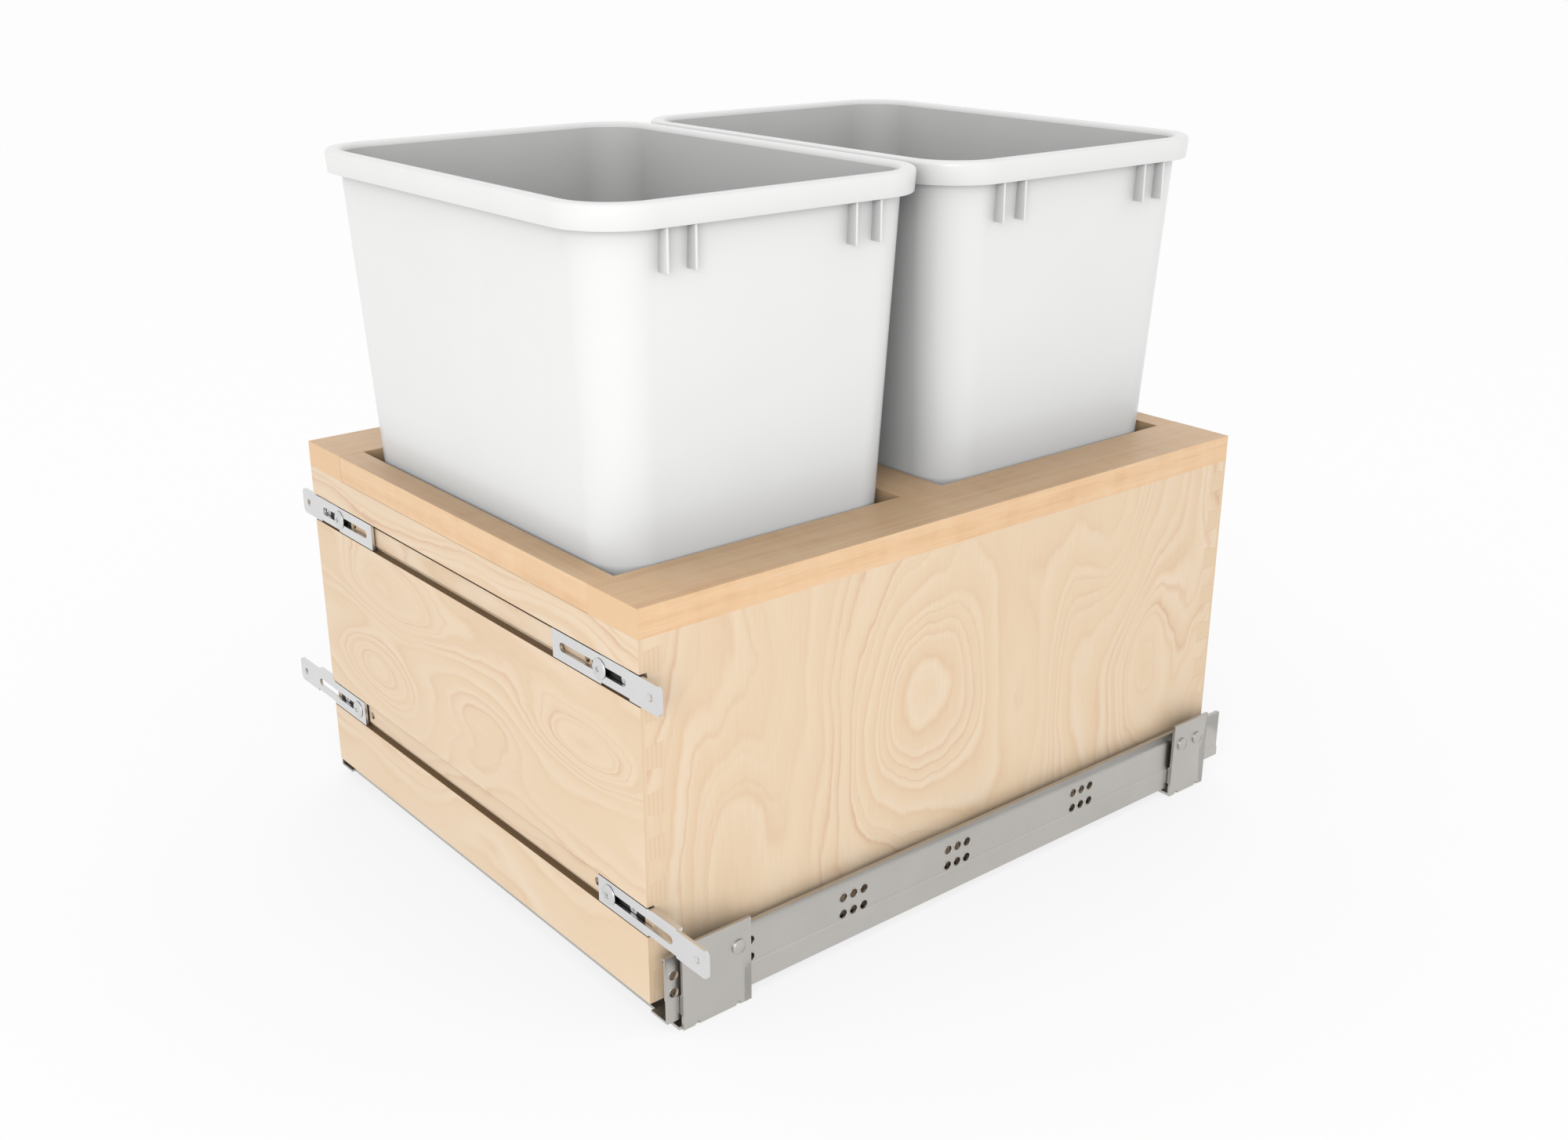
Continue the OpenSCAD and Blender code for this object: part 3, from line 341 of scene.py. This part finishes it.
cage_acetal = moulded("moulded_grey_acetal", "#595c60", "#63666a",
                      grain_mm=0.7, roughness=0.45, bump=0.2)
ground_steel = rolled_steel("ground_roller_steel", "#c4c4c4", "#d6d6d6",
                            line_mm=0.5, length_mm=0.5, roughness=0.2, bump=0.05)
for side in ("left", "right"):
    dress(side + "_middle_rail", side + "_middle", satin_zinc, ease_mm=0.3)
    for level in ("lower", "upper"):
        row = side + "_" + level
        dress(row + "_cage", row + "_roller_set", cage_acetal, ease_mm=0.2)
        paint(row + "_rollers", ground_steel)

# Drawer rails: the top members of the slides, which carry the box.
# Folded from the same sheet, with a hook at the rear that pins the back panel down.

for side in ("left", "right"):
    dress(side + "_drawer_rail", "drawer", satin_zinc, ease_mm=0.3)

# Locks under the front corners of the box.
# Moulded bodies screwed to the bottom panel, each with a sprung release slider.

lock_plastic = moulded("moulded_lock_plastic", "#6c6f73", "#75787c",
                       grain_mm=0.9, roughness=0.42, bump=0.25)
slider_plastic = moulded("moulded_release_plastic", "#8d9094", "#989b9f",
                         grain_mm=0.9, roughness=0.4, bump=0.25)
for side in ("left", "right"):
    dress(side + "_lock_body", "drawer", lock_plastic, ease_mm=0.5)
    dress(side + "_lock_slider", side + "_lock_catch", slider_plastic, ease_mm=0.4)
bright_zinc = rolled_steel("bright_zinc_plate", "#d6d6d7", "#dedede",
                           line_mm=1.1, length_mm=30, roughness=0.3, bump=0.05)
for node in ("lock_screws", "bar_screws"):
    paint(node, bright_zinc)

# Box panels: clear-coated birch plywood with half-blind dovetailed corners.
# The face veneer is peeled from the log, so it shows wide wavy lines and closed ovals;
# the grain stands upright on the sides and lies flat on the front and back.


def ramp(tree, factor, *stops):
    """Colour by a scale of stops, given as the first, the last and then those between them."""
    node = add(tree, "ShaderNodeValToRGB", {0: factor})
    scale = node.color_ramp.elements
    for end, (position, code) in zip((scale[0], scale[1]), stops):
        end.position, end.color = position, linear(code)
    for position, code in stops[2:]:
        scale.new(position).color = linear(code)
    return node.outputs[0]


def vectors(tree, operation, first, second):
    return add(tree, "ShaderNodeVectorMath", {0: first, 1: second}, operation=operation).outputs


def facing(tree, axis):
    """How squarely a face looks along an axis, from 0 to 1."""
    normal = add(tree, "ShaderNodeSeparateXYZ", {0: add(tree, "ShaderNodeNewGeometry").outputs["Normal"]})
    return span(tree, maths(tree, "ABSOLUTE", normal.outputs[axis]), (0.6, 0.8))


# The figure lies in a plane per panel; a cell this deep leaves the panel's seed as it is
plane = 1000
plain_wood = "#edd3b3"
ply_pair = 3.2


def veneer_level(tree, flat, across, ovals, line_mm, seed):
    """Depth of the peel, counted in growth lines."""
    # Slow wander of the lines, 210 mm along the grain and 85 mm across, and a small shiver of each
    drift_lines, shiver_lines = 5.0, 0.55
    drift = noise(tree, cells(tree, flat, (210, 85, plane)), 1.5, 0.45)
    shiver = noise(tree, cells(tree, flat, (42, 16, plane)), 3.0)
    level = maths(tree, "MULTIPLY", across, 1 / (line_mm * MM))
    level = maths(tree, "MULTIPLY_ADD", drift, drift_lines, level)
    level = maths(tree, "MULTIPLY_ADD", shiver, shiver_lines, level)
    for along, over, length, width, rings in ovals:
        centred = vectors(tree, "SUBTRACT", flat, (along * MM, over * MM, seed))["Vector"]
        scaled = vectors(tree, "MULTIPLY", centred, (1 / (length * MM), 1 / (width * MM), 0))["Vector"]
        square = vectors(tree, "DOT_PRODUCT", scaled, scaled)["Value"]
        hill = maths(tree, "EXPONENT", maths(tree, "MULTIPLY", square, -1.0))
        level = maths(tree, "MULTIPLY_ADD", hill, rings, level)
    return level


def veneer_colour(tree, flat, level):
    """Growth lines that rise slowly from pale wood and drop off sharply after their dark edge."""
    broad = ramp(tree, maths(tree, "FRACT", level), (0.0, "#eed6b8"), (1.0, "#eed6b8"), (0.09, "#f0dabe"),
                 (0.45, plain_wood), (0.76, "#ebcfad"), (0.88, "#e7c9a6"), (0.94, "#ecd0af"))
    # Years of slow growth stand close together: bundles of fine lines at some levels of the peel
    fine_lines = 2.3
    close = maths(tree, "FRACT", maths(tree, "MULTIPLY", level, fine_lines))
    fine = ramp(tree, close, (0.0, "#ecd0b0"), (1.0, "#e9caaa"), (0.14, "#f0d9bd"), (0.5, "#edd3b4"),
                (0.76, "#e8c8a7"), (0.88, "#ddb796"))
    season = add(tree, "ShaderNodeTexNoise", {"W": level, "Scale": 0.9, "Detail": 1.5, "Roughness": 0.6},
                 noise_dimensions="1D")
    veneer = mixed(tree, span(tree, season.outputs[0], (0.5, 0.6)), broad, fine)
    # Some lines are faint: patches of plainer wood
    patches = noise(tree, cells(tree, flat, (120, 40, plane), shift=(3.1, 7.7, 0.0)), 1.0)
    return mixed(tree, span(tree, patches, (0.35, 0.65), (0.0, 0.7)), veneer, linear(plain_wood))


def birch_plywood(name, face, grain, ovals, line_mm, seed, cut_shade=None):
    """Peeled birch veneer on the faces square to one axis, and glued plies on the edges.
    ovals: (place along grain, place across grain, half length, half width, rings), in millimetres."""
    made, tree, shader, place = material(name, 0.42)
    axes = add(tree, "ShaderNodeSeparateXYZ", {0: place}).outputs
    across = axes[({"X", "Y", "Z"} - {face, grain}).pop()]
    flat = vector(tree, axes[grain], across, seed)
    figure = veneer_colour(tree, flat, veneer_level(tree, flat, across, ovals, line_mm, seed))
    # Wood fibres, drawn 1 mm wide because the real ones are too fine to show
    fibres = noise(tree, cells(tree, flat, (26, 0.9, plane)), 3.0)
    shade = span(tree, fibres, (0.3, 0.7), (0.975, 1.02))
    toned = vectors(tree, "MULTIPLY", figure, shade)["Vector"]
    # On the edges every other ply is cut across its grain
    layer = maths(tree, "FRACT", maths(tree, "MULTIPLY", axes[face], 1 / (ply_pair * MM)))
    plies = mixed(tree, span(tree, layer, (0.45, 0.55)), linear("#ebd0ae"), linear("#e7cba9"))
    colour = mixed(tree, facing(tree, face), plies, toned)
    if cut_shade:
        # Level cuts in the panel are painted dark brown as shade on the groove ledges, but not its lower
        # edge
        above_edge = maths(tree, "GREATER_THAN", axes["Z"], panel_z + 2 * MM)
        shaded_cuts = maths(tree, "MULTIPLY", facing(tree, "Z"), above_edge)
        colour = mixed(tree, shaded_cuts, colour, linear(cut_shade))
    gloss = span(tree, fibres, (0.3, 0.7), (0.38, 0.5))
    surface(tree, shader, colour, gloss, fibres, 0.2, 0.05)
    return made


def side_ovals(*ovals):
    """Ovals on a box side, placed by depth behind the front and height; the grain is upright."""
    return [(panel_z / MM + z, front_y / MM + y, *rest) for y, z, *rest in ovals]


def level_ovals(*ovals):
    """Ovals on the front or back, placed sideways from the middle and by height."""
    return [(x, panel_z / MM + z, *rest) for x, z, *rest in ovals]


right_figure = side_ovals((216, 142, 84, 50, 5.5), (400, 235, 70, 62, -3.0), (450, 90, 70, 42, 2.2),
                          (330, 110, 80, 34, -1.5), (60, 60, 90, 30, 1.6))
left_figure = side_ovals((330, 120, 85, 48, 5.0))
front_figure = level_ovals((-107, 173, 60, 26, 2.6), (-125, 108, 66, 27, 3.2), (150, 150, 70, 22, 2.0),
                           (30, 120, 52, 26, -1.6))
back_figure = level_ovals((90, 150, 70, 30, 5.0), (-80, 90, 60, 26, -3.0))
bottom_figure = [(60, -40, 110, 45, 5.0)]
ply_right = birch_plywood("birch_plywood_right_side", "X", "Z", right_figure,
                          line_mm=40, seed=1.3)
ply_left = birch_plywood("birch_plywood_left_side", "X", "Z", left_figure,
                         line_mm=40, seed=4.7)
# The front's level cuts, the groove ledges, get a painted shade colour
ply_front = birch_plywood("birch_plywood_front", "Y", "X", front_figure,
                          line_mm=42, seed=2.1, cut_shade="#86694a")
ply_back = birch_plywood("birch_plywood_back", "Y", "X", back_figure,
                         line_mm=42, seed=6.2)
ply_bottom = birch_plywood("birch_plywood_bottom", "Z", "Y", bottom_figure,
                           line_mm=44, seed=8.4)
for node, finish in (("front_panel", ply_front), ("back_panel", ply_back), ("left_side", ply_left),
                     ("right_side", ply_right), ("bottom_panel", ply_bottom)):
    dress(node, "drawer", finish, ease_mm=0.3)

# Face frame: solid maple stiles and rails, doweled at the corners and to the box sides.
# Planed and clear coated; warmer than the plywood, with fine straight grain along each piece and
# end grain at the ends of the stiles.


def solid_maple(name, grain, seed):
    """Straight fine grain along one axis, with end grain on the faces square to it."""
    made, tree, shader, place = material(name, 0.4)
    axes = add(tree, "ShaderNodeSeparateXYZ", {0: place}).outputs
    others = sorted({"X", "Y", "Z"} - {grain})
    flat = vector(tree, axes[grain], axes[others[0]], axes[others[1]])
    # Growth lines 5 to 7 mm wide that wander slowly along the board, and a mild ripple across it
    lines = noise(tree, cells(tree, flat, (160, 5, 7), shift=(seed, seed * 2, 0)), 3.0, 0.6)
    ripple = noise(tree, cells(tree, flat, (14, 40, 40), shift=(0, seed, seed)), 2.0)
    both = maths(tree, "MULTIPLY_ADD", ripple, 0.45, lines)
    board = ramp(tree, both, (0.45, "#e6ba8b"), (1.0, "#f3d1a9"), (0.7, "#efc79b"))
    fibres = noise(tree, cells(tree, flat, (22, 0.8, 0.8)), 2.0)
    shade = span(tree, fibres, (0.3, 0.7), (0.95, 1.03))
    toned = vectors(tree, "MULTIPLY", board, shade)["Vector"]
    rings = noise(tree, cells(tree, flat, (300, 3, 9)), 2.0)
    end_colour = mixed(tree, rings, linear("#ebc294"), linear("#f0cb9f"))
    colour = mixed(tree, facing(tree, grain), toned, end_colour)
    gloss = span(tree, fibres, (0.3, 0.7), (0.36, 0.48))
    surface(tree, shader, colour, gloss, fibres, 0.15, 0.05)
    return made


frame_pieces = (("left_stile", "Y"), ("right_stile", "Y"), ("front_rail", "X"), ("centre_rail", "X"),
                ("rear_rail", "X"))
for number, (node, grain) in enumerate(frame_pieces):
    board = solid_maple("solid_maple_" + node, grain, seed=1.7 * number + 0.4)
    dress(node, "drawer", board, ease_mm=0.6)

# Dowels: turned beech pins, glued into the frame joints.
# They are hidden once the box is closed; plain unfinished wood.

dowel_beech = solid_maple("turned_beech", "X", seed=9.0)
for node in ("rail_dowels", "side_dowel_set"):
    paint(node, dowel_beech)

# Clamp bars and clamp screws in the front grooves.
# The bars are dark phosphated steel, screwed into pockets of the grooves. The screws are bright
# zinc plated and hold the door plates with broad domed heads that have a cross recess.

dark_phosphate = rolled_steel("dark_phosphated_steel", "#2b2927", "#3a3835",
                              line_mm=1.2, length_mm=6, roughness=0.45, bump=0.2)
dress("clamp_bars", "drawer", dark_phosphate, ease_mm=0.3)


def block(tree, x, y, z):
    return add(tree, "GeometryNodeMeshCube", {"Size": vector(tree, x, y, z)}).outputs[0]


def clamp_screw(tree, size):
    radius, height = size["Head Radius"], size["Head Height"]
    ball = add(tree, "GeometryNodeMeshUVSphere", {"Segments": 40, "Rings": 24, "Radius": 1.0})
    dome = add(tree, "GeometryNodeTransform", {"Geometry": ball.outputs[0],
                                               "Scale": vector(tree, radius, radius, height)})
    wide = maths(tree, "MULTIPLY", radius, 3.0)
    above = raised(tree, block(tree, wide, wide, maths(tree, "MULTIPLY", height, 2.0)), height)
    cap = add(tree, "GeometryNodeMeshBoolean", operation="INTERSECT")
    for shape in (dome.outputs[0], above):
        tree.links.new(shape, cap.inputs["Mesh 2"])
    deep = maths(tree, "MULTIPLY", size["Recess Depth"], 2.0)
    head = add(tree, "GeometryNodeMeshBoolean", {"Mesh 1": cap.outputs[0]}, operation="DIFFERENCE")
    for first, second in (("Recess Length", "Recess Width"), ("Recess Width", "Recess Length")):
        blade = raised(tree, block(tree, size[first], size[second], deep), height)
        tree.links.new(blade, head.inputs["Mesh 2"])
    shank = cylinder(tree, 24, size["Shank Radius"], size["Shank Length"])
    shank = raised(tree, shank, maths(tree, "MULTIPLY", size["Shank Length"], -0.5))
    return joined(tree, head.outputs[0], shank)


screw_zinc = rolled_steel("zinc_plated_screw", "#d0d0d1", "#d9d9d9",
                          line_mm=1.1, length_mm=30, roughness=0.32, bump=0.05)
clamp_x = 170.0 * MM
clamp_heights = (57.7, 210.3)
head_gap = 0.22
clamp_places = [(s * clamp_x, front_y - head_gap * MM, panel_z + z * MM)
                for s in (-1, 1) for z in clamp_heights]
clamp_turns = [(math.pi / 2, turn, 0) for turn in (0.5, 0.2, 0.7, 0.35)]
clamp_sizes = {"Head Radius": 6.75 * MM, "Head Height": 1.8 * MM, "Recess Length": 4.8 * MM,
               "Recess Width": 0.9 * MM, "Recess Depth": 0.6 * MM,
               "Shank Radius": 2.45 * MM, "Shank Length": 12.0 * MM}
clamps = repeated("clamp_screw_set", clamp_places, clamp_turns, clamp_sizes, clamp_screw, screw_zinc)
clamps.data.set_sharp_from_angle(angle=math.radians(40))
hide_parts("clamp_screws")
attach(clamps, "drawer")

# Door plates: stamped steel strips with a long slot, bright zinc plated, edges bent back.
# They slide sideways under the clamp screws until the door lines up.

for level in ("top", "low"):
    for side in ("left", "right"):
        place = level + "_" + side
        dress(place + "_plate", place + "_door_plate", bright_zinc, ease_mm=0.35)

# Bins: white polypropylene, injection moulded, with draft on every wall and a turned-down rim.
# The outside is satin; the inside has the duller texture of the mould core, and is painted light grey as the
# shade inside the bins. They stand loose on the bottom panel within the face frame and lift out.

bin_white = moulded("moulded_white_polypropylene", "#f3f3f2", "#f0f0ef",
                    grain_mm=0.9, roughness=0.22, bump=0.08, ior=1.49)
# The inside is a grey copy of the white plastic: painted shade for the dim inside of the bins
bin_inside_shaded = moulded("textured_polypropylene_painted_shade", "#d8d8d7", "#d2d2d1",
                     grain_mm=1.6, roughness=0.6, bump=0.35, ior=1.49)

# Sizes in millimetres; the half sizes are those of the wall at the top of the face frame
frame_top = panel_z / MM + 260.8
bin_base = panel_z / MM + 22.2
bin_height = 454.0
rim_height = 15.0
rim_top = bin_base + bin_height
rim_under = rim_top - rim_height
half_x, half_y = 157.2, 111.325
draft = 9.65 / 200.4
corner_top, corner_base = 34.0, 26.0
corner_draft = (corner_top - corner_base) / (bin_height - rim_height)
wall = 2.5
bin_floor = 3.0
hollow_depth = 1.5
foot_inset, middle_inset = 16.0, 30.0
bin_edge = 6.0
rim_edge = 2.6
rim_inside, rim_outside = 6.2, 8.7
corner_parts = 20


def wall_ring(z, out, at=None):
    """Rounded rectangle of the outer wall at height z, grown by out and drawn at height at."""
    grow = (z - frame_top) * draft + out
    radius = corner_top - (rim_under - z) * corner_draft + out
    a, b = half_x + grow - radius, half_y + grow - radius
    ring = []
    for quarter, (sx, sy) in enumerate(((1, 1), (-1, 1), (-1, -1), (1, -1))):
        for step in range(corner_parts + 1):
            angle = math.radians(90 * quarter + 90 * step / corner_parts)
            ring.append((sx * a + radius * math.cos(angle), sy * b + radius * math.sin(angle),
                         z if at is None else at))
    return ring


def edge_rings(z, out, radius, angles, up=1):
    """Rings round a rounded edge that starts at height z and curves up or down."""
    rings = []
    for angle in map(math.radians, angles):
        inward, rise = radius * (math.cos(angle) - 1), up * radius * (1 - math.sin(angle))
        rings.append(wall_ring(z, out + inward, z + rise))
    return rings


def wall_rings(low, high, shares, out):
    return [wall_ring(low + share * (high - low), out) for share in shares]


def bin_profile():
    """Rings from the middle of the floor's underside up the wall, over the rim and down the inside."""
    hollow = bin_base + hollow_depth
    floor_top = bin_base + bin_floor
    rings = [wall_ring(hollow, -middle_inset), wall_ring(hollow, -foot_inset),
             wall_ring(bin_base, hollow_depth - foot_inset)]
    rings += edge_rings(bin_base, 0, bin_edge, range(90, -1, -15))
    rings += wall_rings(bin_base + bin_edge, rim_under, (0.25, 0.5, 0.75), 0)
    rings += [wall_ring(rim_under, 0), wall_ring(rim_top - 3.5, 0), wall_ring(rim_top - wall, 0.6),
              wall_ring(rim_top - wall, rim_inside), wall_ring(rim_under + 0.3, rim_inside),
              wall_ring(rim_under, rim_inside + 0.3), wall_ring(rim_under, rim_outside - 0.3),
              wall_ring(rim_under + 0.4, rim_outside)]
    rings += edge_rings(rim_top, rim_outside, rim_edge, range(0, 91, 15), up=-1)
    # The lip rolls over from the flat top to the inside in short steps
    rings += [wall_ring(rim_top, 0.6), wall_ring(rim_top, -0.6, rim_top - 0.4),
              wall_ring(rim_top, -1.9, rim_top - 1.4)]
    inside = len(rings)
    rings.append(wall_ring(rim_top - 3.2, -wall))
    rings += wall_rings(floor_top + bin_edge, rim_top - 3, (0.75, 0.5, 0.25), -wall)
    rings += edge_rings(floor_top, -wall, bin_edge, range(0, 91, 15))
    rings.append(wall_ring(floor_top, -middle_inset))
    return rings, inside


def fin(tree, size):
    return block(tree, size["Fin Reach"], size["Fin Thickness"], size["Fin Height"])


fin_sizes = {"Fin Height": 27.0 * MM, "Fin Reach": 9.4 * MM, "Fin Thickness": 1.9 * MM}
fin_x = 169.4
fin_rows = (-79.7, -59.9, 59.9, 79.7)
fin_drop = 12.5
rings, inside = bin_profile()
count = len(rings[0])
faces = []
for i in range(len(rings) - 1):
    for j in range(count):
        k = (j + 1) % count
        faces.append((i * count + j, i * count + k, (i + 1) * count + k, (i + 1) * count + j))
underside = len(faces)
faces.append(tuple(reversed(range(count))))
faces.append(tuple(range((len(rings) - 1) * count, len(rings) * count)))
for name in ("front", "rear"):
    low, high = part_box(name + "_bin")
    middle = (low.y + high.y) / 2
    mesh = bpy.data.meshes.new(name + "_bin_shell")
    mesh.from_pydata([(x * MM, middle + y * MM, z * MM) for ring in rings for x, y, z in ring], [], faces)
    mesh.materials.append(bin_white)
    mesh.materials.append(bin_inside_shaded)
    for index, face in enumerate(mesh.polygons):
        face.use_smooth = True
        face.material_index = 1 if index // count >= inside and index != underside else 0
    mesh.update()
    mesh.set_sharp_from_angle(angle=math.radians(50))
    shell = placed(name + "_bin_shell", mesh)
    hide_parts(name + "_bin")
    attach(shell, name + "_bin_body")
    fin_places = [(s * fin_x * MM, middle + y * MM, (rim_under - fin_drop) * MM)
                  for s in (-1, 1) for y in fin_rows]
    fin_turns = [(0, 0, 0)] * len(fin_places)
    fins = repeated(name + "_bin_fins", fin_places, fin_turns, fin_sizes, fin, bin_white)
    ease = fins.modifiers.new("eased", "BEVEL")
    ease.width = 0.5 * MM
    ease.segments = 2
    bake(fins)
    fins.data.set_sharp_from_angle(angle=math.radians(40))
    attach(fins, name + "_bin_body")

# Studio: an even white surround, a pale floor with a glow of its own, and one soft light off the
# front right corner. Light does not bounce between the pieces, so gaps and corners stay dark.
# The camera stands at the height and angle of the photograph.

scene = bpy.context.scene
scene.view_settings.view_transform = "Standard"
scene.cycles.diffuse_bounces = 0

white = (1, 1, 1, 1)
cast_light, seen_light = 0.78, 1.0
world = bpy.data.worlds.new("studio_surround")
scene.world = world
world.use_nodes = True
tree = world.node_tree
tree.nodes.clear()
ray = add(tree, "ShaderNodeLightPath").outputs
seen = maths(tree, "MAXIMUM", ray["Is Camera Ray"], ray["Is Glossy Ray"])
strength = add(tree, "ShaderNodeMix", {"Factor": seen, 2: cast_light, 3: seen_light}, data_type="FLOAT")
surround = add(tree, "ShaderNodeBackground", {"Color": white, "Strength": strength.outputs[0]})
add(tree, "ShaderNodeOutputWorld", {"Surface": surround.outputs[0]})

floor_reach = 30.0
floor_z = -0.5 * MM
corners = [(x * floor_reach, y * floor_reach, floor_z) for x, y in ((-1, -1), (1, -1), (1, 1), (-1, 1))]
floor_mesh = bpy.data.meshes.new("studio_floor")
floor_mesh.from_pydata(corners, [], [(0, 1, 2, 3)])
floor = placed("studio_floor", floor_mesh)
paper = bpy.data.materials.new("matt_white_floor")
paper.use_nodes = True
tree = paper.node_tree
tree.nodes.clear()
glow_share = 0.72
matt = add(tree, "ShaderNodeBsdfDiffuse", {"Color": (0.8, 0.8, 0.8, 1)})
glow = add(tree, "ShaderNodeEmission", {"Color": white, "Strength": 1.12})
blend = add(tree, "ShaderNodeMixShader", {0: glow_share, 1: matt.outputs[0], 2: glow.outputs[0]})
add(tree, "ShaderNodeOutputMaterial", {"Surface": blend.outputs[0]})
floor_mesh.materials.append(paper)


def aim(thing, direction):
    """Turns a camera or light to look along a direction."""
    thing.rotation_euler = direction.to_track_quat("-Z", "Y").to_euler()


# Solved from the photo: distance from the middle of the front panel's lower edge, and the angles
camera_x, camera_y, camera_z = 0.93398, -0.48913, 0.61824
azimuth, elevation = math.radians(50.543), math.radians(21.025)
camera_data = bpy.data.cameras.new("studio_camera")
camera_data.lens = 38.818
camera_data.sensor_width = 36.0
camera_data.dof.use_dof = False
camera = placed("studio_camera", camera_data)
camera.location = (camera_x, front_y + camera_y, panel_z + camera_z)
aim(camera, Vector((-math.sin(azimuth) * math.cos(elevation), math.cos(azimuth) * math.cos(elevation),
                    -math.sin(elevation))))
scene.camera = camera

light_data = bpy.data.lights.new("corner_softbox", "AREA")
light_data.shape = "SQUARE"
light_data.size = 1.3
light_data.energy = 22.0
light = placed("corner_softbox", light_data)
light.location = (1.9, -1.9, 1.0)
light_target = Vector((0, 0, 0.3))
aim(light, light_target - light.location)
light.visible_camera = False
